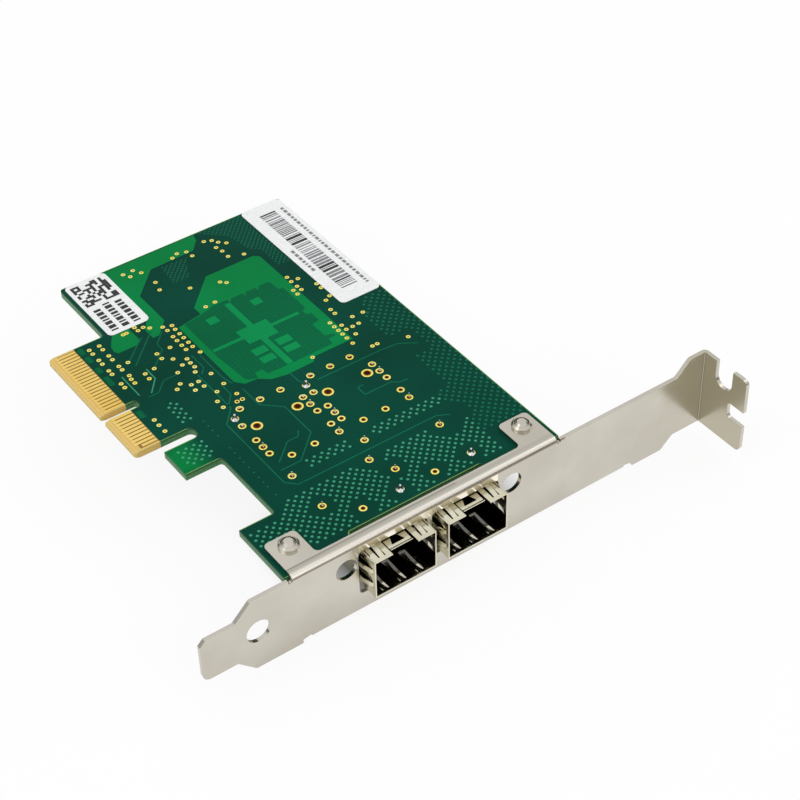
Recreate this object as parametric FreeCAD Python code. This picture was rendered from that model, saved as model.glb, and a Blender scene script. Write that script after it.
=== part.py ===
"""Dual-port SFP network interface card on a full-height mounting bracket.

Frame: the origin is the middle of the key notch on the tip edge of the card
edge, at mid thickness of the board. +X runs away from the slot connector,
+Y runs away from the bracket face into the case, +Z is the solder side.
All lengths are in millimetres.
"""
import math
import os

import FreeCAD
import Part

V = FreeCAD.Vector

# Circuit board
board_t = 1.57
main_left_x = 12.95
board_right_x = 68.45
board_far_y = 41.85
ear_x = 5.0
ear_top_y = -42.45
hook_x = 4.85
hook_y = (-23.65, -15.65)
recess_x = (20.65, 51.85)
recess_depth = 2.85
corner_r = 0.8
inner_corner_r = 1.4
bevel_length = 1.1
bevel_depth = 0.35
slot_round = 0.999
hole_sides = 10
screw_sides = 24

# Card edge of a four-lane slot
key_w = 1.90
key_depth = 8.25
long_tongue_w = 21.65
short_tongue_w = 11.65
pad_pitch = 1.0
pad_w = 0.70
pad_t = 0.05
pad_end_x = 5.63
short_pad_start_x = 2.3
first_pad_from_key = 0.55
long_pads = 21
short_pads = 11
tongue_tip_r = 0.6

# Folded sheet bracket
sheet_t = 0.86
bend_inner_r = 0.40
flange_inner_r = 0.15
face_y = -59.05
board_to_sheet = 0.45
bracket_tip_x = -14.1
bracket_length = 120.02
bracket_w = 18.42
tongue_w = 10.19
tongue_top = 4.50
tongue_end = 7.3
tongue_corner_r = 1.6
tongue_nose = 1.2
face_corner_r = 0.6
edge_drop = 0.80
fold_x = (20.0, 81.2)
relief_r = 0.45
strip_depth = 2.68
tab_depth = 10.0
tab_w = 7.0
tab_corner_r = 1.1
stiffener_x = (23.6, 99.2)
stiffener_notch = 2.3
stiffener_notch_rise = 0.9
stiffener_depth = 3.2
neck_x = (109.0, 112.0)
ear_rise = 2.55
flange_low = 15.75
flange_depth = 12.0
flange_corner_r = 1.2
screw_slot_r = 2.35
screw_slot_y = -5.8
screw_slot_floor = 3.2
edge_notch = (5.4, 9.2)
edge_notch_depth = 4.4
edge_notch_r = 0.9
tongue_hole = (12.15, 9.1, 2.6)
spare_holes = ((31.6, 5.4, 2.35), (70.1, 5.4, 2.35))

# Screws that hold the board to the bracket tabs
screw_spacing = 54.1
screw_from_tip = 23.85
screw_from_face = 7.05
screw_r = 1.45
collar_r = 2.05
collar_bore_r = screw_r + 0.07
collar_h = 0.95
collar_chamfer = 0.45
board_hole_r = 1.75
head_r = 2.85
head_h = 1.9
head_chamfer = 0.8
screw_tip_chamfer = 0.55
screw_tip_above_collar = 0.3
drive_w = 0.7
drive_span = 3.4
drive_depth = 1.1

# Module cages
port_pitch = 16.8
first_port_x = 28.05
cage_w = 14.0
cage_t = 0.25
cage_front = 4.0
cage_length = 49.4
cage_gap = 0.215
cage_h = 9.15
opening_half_w = 7.9
opening_z = (2.6, 13.6)
opening_corner_r = 1.0
frame_band = 0.7
finger_w = 1.0
finger_slot = 0.28
finger_to_face = 0.1
board_fingers, board_bow = (-4.8, 4.8), (0.36, 0.50)
far_fingers, left_fingers, right_fingers = (-4.25, -0.25, 3.75), (-1.65, 1.85), (-0.55, 2.95)
long_finger = 6.0
long_bow = (0.82, 0.45)
latch_gap = 5.75
latch_w = 4.95
latch_length = 9.0
latch_start = 1.2
latch_dip = 0.30
latch_lip = (0.5, 0.25)
latch_hole = (1.45, 2.3, 6.0)
edge_slit = (0.2, 2.0, 5.0)
lock_tab = (2.0, 0.22)
lock_tab_gap = 0.05
lock_tab_behind_pin = 2.5
wall_gap = 0.02
vent_r = 0.95
vent_rows = (-3.6, 0.0, 3.6)
vent_v = (15.0, 21.0)
pin_w = 0.6
pin_t = 0.3
pin_column_u = 7.15
pin_shoulder_drop = 0.5
pin_hole_r = 0.53
pin_stick_out = 0.25
left_pins_from = (16.7, 2.1)
right_pins_from = (11.6, 7.35)
pins_in_row = 4
extra_pin_from_rear = 4.75
rear_pin_u = (-4.8, 0.0, 4.8)

# Host connectors inside the cages
housing = (11.6, 8.2, 5.9)
housing_behind = 2.05
base_to_housing = 0.4
peg_spacing = 9.55
peg_hole_r = 0.80
peg_r = 0.72
peg_below_top = 0.2
mouth = (9.4, 2.0, 6.2)
mouth_mid = 3.7
foot_relief = (1.0, 1.2)
contact_pitch = 0.8
contact_w = 0.32
contact_t = 0.2
contact_foot_out = 0.6
contact_foot = 1.3
contacts_per_row = 10

# Controller and its heat sink
substrate = (25.0, 25.0, 1.1)
mold_cap = (21.5, 21.5, 1.2)
thermal_pad = (21.5, 21.5, 0.3)
sink_size = (31.0, 31.0, 9.0)
sink_base = 2.0
sink_behind_cage = 1.65
fin_count = 11
fin_t = 1.0

# Stickers
sticker_t = 0.12
serial_box = (13.8, 23.5, 21.5, 41.7)
barcode_box = (58.3, 68.35, 1.4, 41.8)
sticker_corner_r = 1.2

# Small parts on the component side
flash_at, flash_size = (19.2, 33.5), (5.3, 5.3, 1.8)
eeprom_at, eeprom_size = (19.2, 22.5), (4.9, 3.9, 1.5)
lead_pitch, lead_w, lead_t, lead_reach = 1.27, 0.42, 0.2, 1.0
lead_foot, lead_exit = 0.6, 0.7
crystal_at, crystal_base_size, crystal_lid_size = (18.4, 12.5), (5.0, 3.2, 0.6), (4.4, 2.6, 0.5)
regulator_xs, regulator_y, regulator_size = (30.5, 41.0), 34.8, (6.5, 3.5, 1.6)
regulator_tab = (3.0, 1.7)
regulator_pitch = 2.3
regulator_lead_w = 0.7
inductor_xs, inductor_y, inductor_size = (52.0, 62.0), 35.0, (7.0, 7.0, 3.0)
inductor_end = (2.4, 0.3, 1.0)
bulk_x, bulk_ys, bulk_size = 65.1, (3.0, 12.5, 22.0), (4.3, 7.0, 2.8)
bulk_end = (2.4, 0.25, 1.2)
coupling_x, coupling_y0, coupling_count, coupling_step = 14.7, 2.6, 8, 2.1
coupling_size, coupling_end = (1.0, 0.5, 0.5), 0.22
decouple_from_sink, decouple_count, decouple_step = (1.8, 4.8), 7, 4.2
decouple_size, decouple_end = (2.0, 1.25, 1.2), 0.4
port_filter_xs, port_filter_ys = (56.5, 61.5), (-45.0, -36.0, -27.0)
port_filter_size, port_filter_end = (3.2, 2.5, 2.0), 0.5
resistors_from_crystal, sink_from_resistors = 0.9, 0.5
resistor_count, resistor_step = 9, 3.1
port_resistor_xs, port_resistor_ys = (55.2, 59.2, 63.2), (-20.0, -17.0)
resistor_size, resistor_end = (1.6, 0.8, 0.45), 0.3

# Derived positions
top_z = board_t / 2
under_z = -board_t / 2
tab_top_z = top_z + sheet_t
bend_outer_r = bend_inner_r + sheet_t
flange_outer_r = flange_inner_r + sheet_t
board_near_y = face_y + sheet_t + board_to_sheet
recess_y = board_near_y + recess_depth
long_tongue_y = (key_w / 2, key_w / 2 + long_tongue_w)
short_tongue_y = (-key_w / 2 - short_tongue_w, -key_w / 2)
bracket_at = V(bracket_tip_x, face_y, tab_top_z)
port_xs = (first_port_x, first_port_x + port_pitch)
cage_y = face_y - cage_front
cage_board_z = under_z - cage_gap
cage_far_z = cage_board_z - cage_h
cage_mid_z = (cage_board_z + cage_far_z) / 2
cage_rear_y = cage_y + cage_length
screw_xs = tuple(bracket_tip_x + screw_from_tip + k * screw_spacing for k in (0, 1))
screw_y = face_y + screw_from_face
housing_front_v = cage_length - cage_t - housing_behind - housing[1]
base_length = housing_front_v - base_to_housing
peg_v = housing_front_v + housing[1] / 2
resistors_x = crystal_at[0] + (crystal_base_size[0] + resistor_size[0]) / 2 + resistors_from_crystal
chip_x = resistors_x + (resistor_size[0] + sink_size[0]) / 2 + sink_from_resistors
chip_y = cage_rear_y + sink_behind_cage + sink_size[1] / 2
chip_at = (chip_x, chip_y)


def box(x0, x1, y0, y1, z0, z1):
    return Part.makeBox(x1 - x0, y1 - y0, z1 - z0, V(x0, y0, z0))


def block(cx, cy, size, z_top):
    """Box of (x, y, z) size centred on cx, cy and hanging down from z_top."""
    sx, sy, sz = size
    return box(cx - sx / 2, cx + sx / 2, cy - sy / 2, cy + sy / 2, z_top - sz, z_top)


def drum(x, y, r, z0, z1):
    return Part.makeCylinder(r, z1 - z0, V(x, y, z0))


def small_drum(x, y, r, z0, z1, sides=hole_sides):
    """Many-sided prism for small round holes, vents, pegs and screws."""
    turns = [2 * math.pi * k / sides for k in range(sides)]
    ring = [V(x + r * math.cos(a), y + r * math.sin(a), z0) for a in turns]
    return Part.Face(Part.makePolygon(ring + ring[:1])).extrude(V(0, 0, z1 - z0))


def rounded_face(corners, lift):
    """Closed outline of (a, b, radius) corners with true arcs, placed by lift."""
    points = [FreeCAD.Base.Vector2d(a, b) for a, b, _ in corners]
    edges, ends = [], []
    for i, (a, b, r) in enumerate(corners):
        here = V(a, b, 0)
        back = V(points[i - 1].x, points[i - 1].y, 0) - here
        ahead_2d = points[(i + 1) % len(points)]
        ahead = V(ahead_2d.x, ahead_2d.y, 0) - here
        back.normalize()
        ahead.normalize()
        if r == 0:
            ends.append((here, None, here))
            continue
        half = back.getAngle(ahead) / 2
        reach = r / math.tan(half)
        middle_way = back + ahead
        middle_way.normalize()
        middle = here + middle_way * (r / math.sin(half) - r)
        ends.append((here + back * reach, middle, here + ahead * reach))
    for i, (start, middle, end) in enumerate(ends):
        if middle is not None:
            arc = Part.Arc(lift(start), lift(middle), lift(end))
            edges.append(arc.toShape())
        following = ends[(i + 1) % len(ends)][0]
        if (following - end).Length > 1e-6:
            edges.append(Part.makeLine(lift(end), lift(following)))
    return Part.Face(Part.Wire(edges))


def plate(corners, z0, z1):
    face = rounded_face(corners, lambda p: V(p.x, p.y, z0))
    return face.extrude(V(0, 0, z1 - z0))


def sheet_xz(corners, y0, y1):
    face = rounded_face(corners, lambda p: V(p.x, y0, p.y))
    return face.extrude(V(0, y1 - y0, 0))


def sheet_yz(corners, x0, x1):
    face = rounded_face(corners, lambda p: V(x0, p.x, p.y))
    return face.extrude(V(x1 - x0, 0, 0))


def rectangle(a0, a1, b0, b1, r=0):
    return [(a0, b0, r), (a1, b0, r), (a1, b1, r), (a0, b1, r)]


def joined(shapes):
    shape = shapes[0].multiFuse(shapes[1:]) if len(shapes) > 1 else shapes[0]
    return shape.removeSplitter()


def save(name, shape):
    if isinstance(shape, (list, tuple)):
        shape = Part.makeCompound(list(shape))
    shape.exportStep(f"parts/{name}.step")


# Board --------------------------------------------------------------------
def pin_row(row_from):
    """Evenly spaced pin stations from (front distance, rear distance)."""
    first, rear = row_from
    step = (cage_length - rear - first) / (pins_in_row - 1)
    return [first + k * step for k in range(pins_in_row)]


left_pin_v = pin_row(left_pins_from) + [cage_length - extra_pin_from_rear]
right_pin_v = pin_row(right_pins_from) + [cage_length - extra_pin_from_rear]
lock_tab_v = [v + lock_tab_behind_pin for v in pin_row(right_pins_from)[:-1]]


def cage_holes():
    """Centres of the pin holes and peg holes under every cage."""
    pins, pegs = [], []
    for port_x in port_xs:
        pins += [(port_x - pin_column_u, cage_y + v) for v in left_pin_v]
        pins += [(port_x + pin_column_u, cage_y + v) for v in right_pin_v]
        pins += [(port_x + u, cage_rear_y - cage_t / 2) for u in rear_pin_u]
        pegs += [(port_x + s * peg_spacing / 2, cage_y + peg_v) for s in (-1, 1)]
    return pins, pegs


def make_board():
    left, right = main_left_x, board_right_x
    key_r = slot_round * key_w / 2
    outline = [
        (ear_x, board_near_y, 0),
        (recess_x[0], board_near_y, 0),
        (recess_x[0], recess_y, corner_r),
        (recess_x[1], recess_y, corner_r),
        (recess_x[1], board_near_y, 0),
        (right, board_near_y, 0),
        (right, board_far_y, corner_r),
        (left, board_far_y, corner_r),
        (left, long_tongue_y[1], corner_r),
        (0, long_tongue_y[1], tongue_tip_r),
        (0, long_tongue_y[0], 0),
        (key_depth, key_w / 2, key_r),
        (key_depth, -key_w / 2, key_r),
        (0, short_tongue_y[1], 0),
        (0, short_tongue_y[0], tongue_tip_r),
        (left, short_tongue_y[0], inner_corner_r),
        (left, hook_y[1], inner_corner_r),
        (hook_x, hook_y[1], 0),
        (hook_x, hook_y[0], 0),
        (left, hook_y[0], corner_r),
        (left, ear_top_y, corner_r),
        (ear_x, ear_top_y, 0),
    ]
    board = plate(outline, under_z, top_z)
    bevel = [(0, top_z, 0), (bevel_length, top_z, 0), (0, top_z - bevel_depth, 0)]
    y0, y1 = short_tongue_y[0] - 0.1, long_tongue_y[1] + 0.1
    upper = sheet_xz(bevel, y0, y1)
    lower = upper.mirror(V(0, 0, 0), V(0, 0, 1))
    pins, pegs = cage_holes()
    drills = [small_drum(x, y, pin_hole_r, under_z - 1, top_z + 1) for x, y in pins]
    drills += [small_drum(x, y, peg_hole_r, under_z - 1, top_z + 1) for x, y in pegs]
    drills += [drum(x, screw_y, board_hole_r, under_z - 1, top_z + 1) for x in screw_xs]
    return board.cut([upper, lower] + drills)


def make_edge_pads(z0, short_index):
    """Row of edge contacts on one face; the presence pin is set back."""
    pads = []
    first_y = -key_w / 2 - first_pad_from_key
    ys = [first_y - k * pad_pitch for k in range(short_pads)][::-1]
    ys += [-first_y + k * pad_pitch for k in range(long_pads)]
    for index, y in enumerate(ys):
        start = short_pad_start_x if index == short_index else bevel_length
        pads.append(box(start, pad_end_x, y - pad_w / 2, y + pad_w / 2, z0, z0 + pad_t))
    return pads


def sticker(bounds):
    x0, x1, y0, y1 = bounds
    return plate(rectangle(x0, x1, y0, y1, sticker_corner_r), top_z, top_z + sticker_t)


# Bracket, drawn from the tongue tip, the outer face and the tab top ---------
def corner_fold(z_leg, y_leg, x0, x1):
    """Sheet folded from the face (down) into a strip (inward), outer corner at 0, 0."""
    t, r = sheet_t, bend_outer_r
    outline = [
        (0, -z_leg, 0),
        (0, 0, r),
        (y_leg, 0, 0),
        (y_leg, -t, 0),
        (t, -t, bend_inner_r),
        (t, -z_leg, 0),
    ]
    return sheet_yz(outline, x0, x1)


def bracket_face():
    r, corner = bend_outer_r, face_corner_r
    before_flange = bracket_length - flange_outer_r
    notch_x = (stiffener_x[0] - stiffener_notch, stiffener_x[1] + stiffener_notch)
    notch_z = -bracket_w + stiffener_notch_rise
    outline = [
        (0, -tongue_top - tongue_nose, 0),
        (tongue_nose, -tongue_top, 0),
        (tongue_end, -tongue_top, corner),
        (tongue_end + tongue_top - edge_drop, -edge_drop, corner),
        (fold_x[0], -edge_drop, 0),
        (fold_x[0], -r, 0),
        (fold_x[1], -r, 0),
        (fold_x[1], -edge_drop, 0),
        (neck_x[1], -edge_drop, corner),
        (neck_x[1] + edge_drop + ear_rise, ear_rise, corner),
        (before_flange, ear_rise, 0),
        (before_flange, -flange_low, 0),
        (neck_x[1], -flange_low, corner),
        (neck_x[0], -bracket_w, corner),
        (notch_x[1], -bracket_w, 0),
        (notch_x[1], notch_z, 0),
        (stiffener_x[1], -bracket_w + r, 0),
        (stiffener_x[0], -bracket_w + r, 0),
        (notch_x[0], notch_z, 0),
        (notch_x[0], -bracket_w, 0),
        (tongue_end + bracket_w - tongue_top - tongue_w, -bracket_w, corner),
        (tongue_end, -tongue_top - tongue_w, corner),
        (0, -tongue_top - tongue_w, tongue_corner_r),
    ]
    return sheet_xz(outline, 0, sheet_t)


def bracket_tabs():
    """Strip along the fold with a fixing tab at each end."""
    x0, x1 = fold_x
    outline = [
        (x0, bend_outer_r, 0),
        (x1, bend_outer_r, 0),
        (x1, tab_depth, tab_corner_r),
        (x1 - tab_w, tab_depth, tab_corner_r),
        (x1 - tab_w, strip_depth, tab_corner_r),
        (x0 + tab_w, strip_depth, tab_corner_r),
        (x0 + tab_w, tab_depth, tab_corner_r),
        (x0, tab_depth, tab_corner_r),
    ]
    return plate(outline, -sheet_t, 0)


def bracket_flange():
    """Outward flange with the screw slot and the side notch."""
    r, t = flange_outer_r, sheet_t
    low, high = -flange_low, ear_rise
    bend = [
        (bracket_length - r, 0, 0),
        (bracket_length - t, 0, flange_inner_r),
        (bracket_length - t, -r, 0),
        (bracket_length, -r, 0),
        (bracket_length, t, r),
        (bracket_length - r, t, 0),
    ]
    corner = plate(bend, low, high)
    outer = -flange_depth
    notch_floor = outer + edge_notch_depth
    outline = [
        (-r, high, 0),
        (-r, low, 0),
        (outer, low, flange_corner_r),
        (outer, -edge_notch[1], 0),
        (notch_floor, -edge_notch[1], edge_notch_r),
        (notch_floor, -edge_notch[0], edge_notch_r),
        (outer, -edge_notch[0], 0),
        (outer, high, flange_corner_r),
    ]
    leaf = sheet_yz(outline, bracket_length - t, bracket_length)
    slot_y = (screw_slot_y - screw_slot_r, screw_slot_y + screw_slot_r)
    slot_outline = [
        (slot_y[0], -screw_slot_floor, slot_round * screw_slot_r),
        (slot_y[1], -screw_slot_floor, slot_round * screw_slot_r),
        (slot_y[1], high + t, 0),
        (slot_y[0], high + t, 0),
    ]
    slot = sheet_yz(slot_outline, bracket_length - 2 * t, bracket_length + t)
    return corner.fuse(leaf.cut(slot))


def cross_hole(x, drop, r):
    """Cylinder through the bracket face at a distance along and down."""
    return Part.makeCylinder(r, 4 * sheet_t, V(x, -sheet_t, -drop), V(0, 1, 0))


def make_bracket():
    top_fold = corner_fold(bend_outer_r, bend_outer_r, *fold_x)
    lower_fold = corner_fold(bend_outer_r, stiffener_depth, *stiffener_x)
    lower_fold = lower_fold.mirror(V(0, 0, -bracket_w / 2), V(0, 0, 1))
    body = joined([bracket_face(), top_fold, lower_fold, bracket_tabs(), bracket_flange()])
    cuts = [cross_hole(*tongue_hole)] + [cross_hole(*hole) for hole in spare_holes]
    for end, side in zip(fold_x, (-1, 1)):
        cuts.append(cross_hole(end + side * relief_r, edge_drop + relief_r / 2, relief_r))
    for port_x in port_xs:
        mid = port_x - bracket_tip_x
        window = rectangle(mid - opening_half_w, mid + opening_half_w,
                           -opening_z[1], -opening_z[0], opening_corner_r)
        cuts.append(sheet_xz(window, -sheet_t, 2 * sheet_t))
    for x in screw_xs:
        along, inward = x - bracket_tip_x, screw_from_face
        collar = drum(along, inward, collar_r, -sheet_t / 2, collar_h)
        rim = [edge for edge in collar.Edges if edge.CenterOfMass.z > collar_h - collar_chamfer]
        body = body.fuse(collar.makeChamfer(collar_chamfer, rim))
        cuts.append(drum(along, inward, collar_bore_r, -2 * sheet_t, 2 * collar_h))
    bracket = body.cut(cuts).removeSplitter()
    bracket.translate(bracket_at)
    return bracket


def make_bracket_screw(x):
    """Pan-head screw that enters from the component side."""
    low = under_z - head_h
    head = small_drum(x, screw_y, head_r, low, under_z, screw_sides)
    rim = [edge for edge in head.Edges if edge.BoundBox.ZMax < low + head_chamfer]
    head = head.makeChamfer(head_chamfer, rim)
    end_z = tab_top_z + collar_h + screw_tip_above_collar
    shank = small_drum(x, screw_y, screw_r, low + drive_depth, end_z, screw_sides)
    tip = [edge for edge in shank.Edges if edge.BoundBox.ZMin > tab_top_z]
    shank = shank.makeChamfer(screw_tip_chamfer, tip)
    cross = []
    for sx, sy in ((drive_span, drive_w), (drive_w, drive_span)):
        cross.append(block(x, screw_y, (sx, sy, 2 * drive_depth), low + drive_depth))
    return head.fuse(shank).cut(cross).removeSplitter()


# Module cage ----------------------------------------------------------------
def cage_point(port_x, wall, u, v, n):
    """Point on a cage wall: u across the wall, v back from the front, n outward."""
    if wall == "board":
        return V(port_x + u, cage_y + v, cage_board_z + n)
    if wall == "far":
        return V(port_x + u, cage_y + v, cage_far_z - n)
    side = -1 if wall == "left" else 1
    return V(port_x + side * (cage_w / 2 + n), cage_y + v, cage_mid_z + u)


def cage_prism(port_x, wall, u0, u1, outline):
    """Prism across a wall from an outline of (v, n) points."""
    points = [cage_point(port_x, wall, u0, v, n) for v, n in outline]
    face = Part.Face(Part.makePolygon(points + points[:1]))
    across = cage_point(port_x, wall, u1, 0, 0) - cage_point(port_x, wall, u0, 0, 0)
    return face.extrude(across)


def cage_slab(port_x, wall, u0, u1, v0, v1, n0=-cage_t, n1=0.0):
    return cage_prism(port_x, wall, u0, u1, [(v0, n0), (v1, n0), (v1, n1), (v0, n1)])


def spring_finger(port_x, wall, u, length, bow):
    """Window in a wall and the contact finger in it, rooted at the front frame.

    The bow is the outward lift at half length and at the free end.
    """
    root, half, through = frame_band, finger_w / 2, 2 * cage_t
    window = cage_slab(port_x, wall, u - half - finger_slot, u + half + finger_slot,
                       root, root + length + finger_slot, -through, through)
    arcs = []
    for n in (0, -cage_t):
        points = ((root, n), (root + length / 2, n + bow[0]), (root + length, n + bow[1]))
        arcs.append([cage_point(port_x, wall, u - half, v, m) for v, m in points])
    outer, inner = arcs
    outline = Part.Wire([
        Part.Arc(*outer).toShape(),
        Part.makeLine(outer[2], inner[2]),
        Part.Arc(*reversed(inner)).toShape(),
        Part.makeLine(inner[0], outer[0]),
    ])
    across = cage_point(port_x, wall, finger_w, 0, 0) - cage_point(port_x, wall, 0, 0, 0)
    return window, Part.Face(outline).extrude(across)


def pins_of(port_x):
    """Press-fit pins that stand up from shoulders on the side and rear walls."""
    low, high = cage_board_z - pin_shoulder_drop, top_z + pin_stick_out
    pin_h, shoulder_h = high - low, under_z - low
    root_u, outer_u = cage_w / 2 - cage_t, pin_column_u + pin_t / 2
    shoulder_u, shoulder_w = (root_u + outer_u) / 2, outer_u - root_u
    pins = []
    for side, stations in ((-1, left_pin_v), (1, right_pin_v)):
        for y in (cage_y + v for v in stations):
            pins.append(block(port_x + side * pin_column_u, y, (pin_t, pin_w, pin_h), high))
            shoulder = (shoulder_w, 2 * pin_w, shoulder_h)
            pins.append(block(port_x + side * shoulder_u, y, shoulder, under_z))
    rear_y = cage_rear_y - cage_t / 2
    for x in (port_x + u for u in rear_pin_u):
        pins.append(block(x, rear_y, (pin_w, cage_t, pin_h), high))
        pins.append(block(x, rear_y, (2 * pin_w, cage_t, shoulder_h), under_z))
    return pins


def make_cage_cover(port_x):
    half, half_h = cage_w / 2, cage_h / 2
    through = 2 * cage_t
    far = cage_slab(port_x, "far", -half, half, 0, cage_length)
    sides = [cage_slab(port_x, wall, -half_h, half_h, 0, cage_length) for wall in ("left", "right")]
    rear = box(port_x - half, port_x + half, cage_rear_y - cage_t, cage_rear_y,
               cage_far_z, cage_board_z)
    stations = [("far", u) for u in far_fingers]
    stations += [("left", u) for u in left_fingers] + [("right", u) for u in right_fingers]
    made = [spring_finger(port_x, wall, u, long_finger, long_bow) for wall, u in stations]
    windows = [window for window, _ in made]
    fingers = [finger for _, finger in made]
    tab_half = lock_tab[0] / 2 + lock_tab_gap
    tab_floor = half_h - cage_t - wall_gap
    for wall in ("left", "right"):
        for v in lock_tab_v:
            windows.append(cage_slab(port_x, wall, tab_floor, half_h, v - tab_half, v + tab_half,
                                     -through, through))
    vents = [small_drum(port_x + u, cage_y + v, vent_r, cage_far_z - cage_t, cage_far_z + through)
             for u in vent_rows for v in vent_v]
    shell = joined([far, rear] + sides).cut(windows + vents)
    return joined([shell] + fingers + pins_of(port_x))


def make_cage_base(port_x):
    """Floor of the cage: fingers, latch tongue and the tabs that lock into the cover."""
    half = cage_w / 2 - cage_t - wall_gap
    floor_plate = cage_slab(port_x, "board", -half, half, 0, base_length)
    gap, through = latch_gap / 2, 2 * cage_t
    slit_w, slit_from, slit_to = edge_slit
    short_finger = cage_front - finger_to_face - frame_band
    made = [spring_finger(port_x, "board", u, short_finger, board_bow) for u in board_fingers]
    fingers = [finger for _, finger in made]
    cuts = [window for window, _ in made]
    for u0, u1, v0, v1 in ((-gap, gap, -through, latch_length),
                           (-half - slit_w, -half + slit_w, slit_from, slit_to),
                           (half - slit_w, half + slit_w, slit_from, slit_to)):
        cuts.append(cage_slab(port_x, "board", u0, u1, v0, v1, -through, through))
    lip_length, lip_rise = latch_lip
    top = [(latch_start, lip_rise - latch_dip), (latch_start + lip_length, -latch_dip),
           (latch_length, 0), (latch_length + cage_t, 0)]
    tongue = top + [(v, n - cage_t) for v, n in reversed(top)]
    latch = cage_prism(port_x, "board", -latch_w / 2, latch_w / 2, tongue)
    half_hole, near, far = latch_hole
    corners = [(-half_hole, near), (half_hole, near), (0, far)]
    corners = [cage_point(port_x, "board", u, v, -latch_dip - through) for u, v in corners]
    triangle = Part.Face(Part.makePolygon(corners + corners[:1]))
    latch = latch.cut(triangle.extrude(V(0, 0, latch_dip + 2 * through)))
    reach = cage_w / 2 + lock_tab[1]
    tabs = [cage_slab(port_x, "board", -reach, reach, v - lock_tab[0] / 2, v + lock_tab[0] / 2)
            for v in lock_tab_v]
    return joined([floor_plate.cut(cuts), latch] + fingers + tabs)


def make_housing(port_x):
    """Connector body with its mouth facing the port and two locating pegs."""
    w, depth, h = housing
    y0 = cage_y + housing_front_v
    body = box(port_x - w / 2, port_x + w / 2, y0, y0 + depth, under_z - h, under_z)
    mouth_w, mouth_h, mouth_depth = mouth
    z = under_z - mouth_mid
    slot = box(port_x - mouth_w / 2, port_x + mouth_w / 2, y0 - 1, y0 + mouth_depth,
               z - mouth_h / 2, z + mouth_h / 2)
    body = body.cut(slot)
    pegs = [small_drum(port_x + s * peg_spacing / 2, cage_y + peg_v, peg_r, under_z - 1,
                       top_z - peg_below_top) for s in (-1, 1)]
    relief_depth, relief_h = foot_relief
    reliefs = [block(port_x, y, (mouth_w, 2 * relief_depth, relief_h), under_z)
               for y in (y0, y0 + depth)]
    return joined([body.cut(reliefs)] + pegs)


def make_contacts(port_x):
    """Two rows of contacts: a foot on the board and a blade along the mouth."""
    y0 = cage_y + housing_front_v
    y1 = y0 + housing[1]
    foot_mid = contact_foot_out - contact_foot / 2
    blade_length = mouth[2] - contact_foot_out
    blade_tops = [under_z - mouth_mid + mouth[1] / 2, under_z - mouth_mid - mouth[1] / 2 + contact_t]
    foot = (contact_w, contact_foot, contact_t)
    blade = (contact_w, blade_length, contact_t)
    solids = []
    for k in range(contacts_per_row):
        x = port_x + (k - (contacts_per_row - 1) / 2) * contact_pitch
        solids += [block(x, y, foot, under_z) for y in (y0 - foot_mid, y1 + foot_mid)]
        solids += [block(x, y0 + mouth[2] - blade_length / 2, blade, z) for z in blade_tops]
    return solids


# Component side -------------------------------------------------------------
def make_heatsink():
    x, y = chip_at
    top = under_z - substrate[2] - mold_cap[2] - thermal_pad[2]
    sx, sy, sz = sink_size
    base = block(x, y, (sx, sy, sink_base), top)
    fins = []
    for k in range(fin_count):
        fx = x - sx / 2 + fin_t / 2 + k * (sx - fin_t) / (fin_count - 1)
        fins.append(block(fx, y, (fin_t, sy, sz), top))
    return joined([base] + fins)


def gull_leads(at, body_w, count):
    """Leads on both Y sides of a small-outline package, feet on the board."""
    solids = []
    for side in (-1, 1):
        edge = at[1] + side * body_w / 2
        knee = edge + side * (lead_reach - lead_foot)
        toe = edge + side * lead_reach
        heel = knee + side * lead_t
        for k in range(count):
            x = at[0] + (k - (count - 1) / 2) * lead_pitch
            outline = [(edge, -lead_exit), (heel, -lead_exit), (heel, -lead_t), (toe, -lead_t),
                       (toe, 0), (knee, 0), (knee, -lead_exit + lead_t), (edge, -lead_exit + lead_t)]
            points = [V(x - lead_w / 2, y, under_z + z) for y, z in outline]
            face = Part.Face(Part.makePolygon(points + points[:1]))
            solids.append(face.extrude(V(lead_w, 0, 0)))
    return solids


def chip(x, y, size, end, along_y=False):
    """Body and two end caps of a chip part that sits on the board."""
    length, width, height = size
    body = block(0, 0, (length - 2 * end, width, height), under_z)
    caps = [block(s * (length - end) / 2, 0, (end, width, height), under_z) for s in (-1, 1)]
    for shape in [body] + caps:
        if along_y:
            shape.rotate(V(0, 0, 0), V(0, 0, 1), 90)
        shape.translate(V(x, y, 0))
    return body, caps


def place_chips(spots, size, end, along_y=False):
    made = [chip(x, y, size, end, along_y) for x, y in spots]
    bodies = [body for body, _ in made]
    caps = [cap for _, pair in made for cap in pair]
    return bodies, caps


def centred(count, step):
    """Evenly spaced places around zero."""
    return [(k - (count - 1) / 2) * step for k in range(count)]


def capacitor_chips():
    coupling = [(coupling_x, coupling_y0 + k * coupling_step) for k in range(coupling_count)]
    sink_far_y = chip_y + sink_size[1] / 2
    decouple = [(chip_x + dx, sink_far_y + dy) for dy in decouple_from_sink
                for dx in centred(decouple_count, decouple_step)]
    first = place_chips(coupling, coupling_size, coupling_end)
    second = place_chips(decouple, decouple_size, decouple_end, True)
    return first[0] + second[0], first[1] + second[1]


def resistor_chips():
    column = [(resistors_x, chip_y + dy) for dy in centred(resistor_count, resistor_step)]
    near_port = [(x, y) for x in port_resistor_xs for y in port_resistor_ys]
    return place_chips(column + near_port, resistor_size, resistor_end)


def filter_chips():
    spots = [(x, y) for x in port_filter_xs for y in port_filter_ys]
    return place_chips(spots, port_filter_size, port_filter_end)


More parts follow.
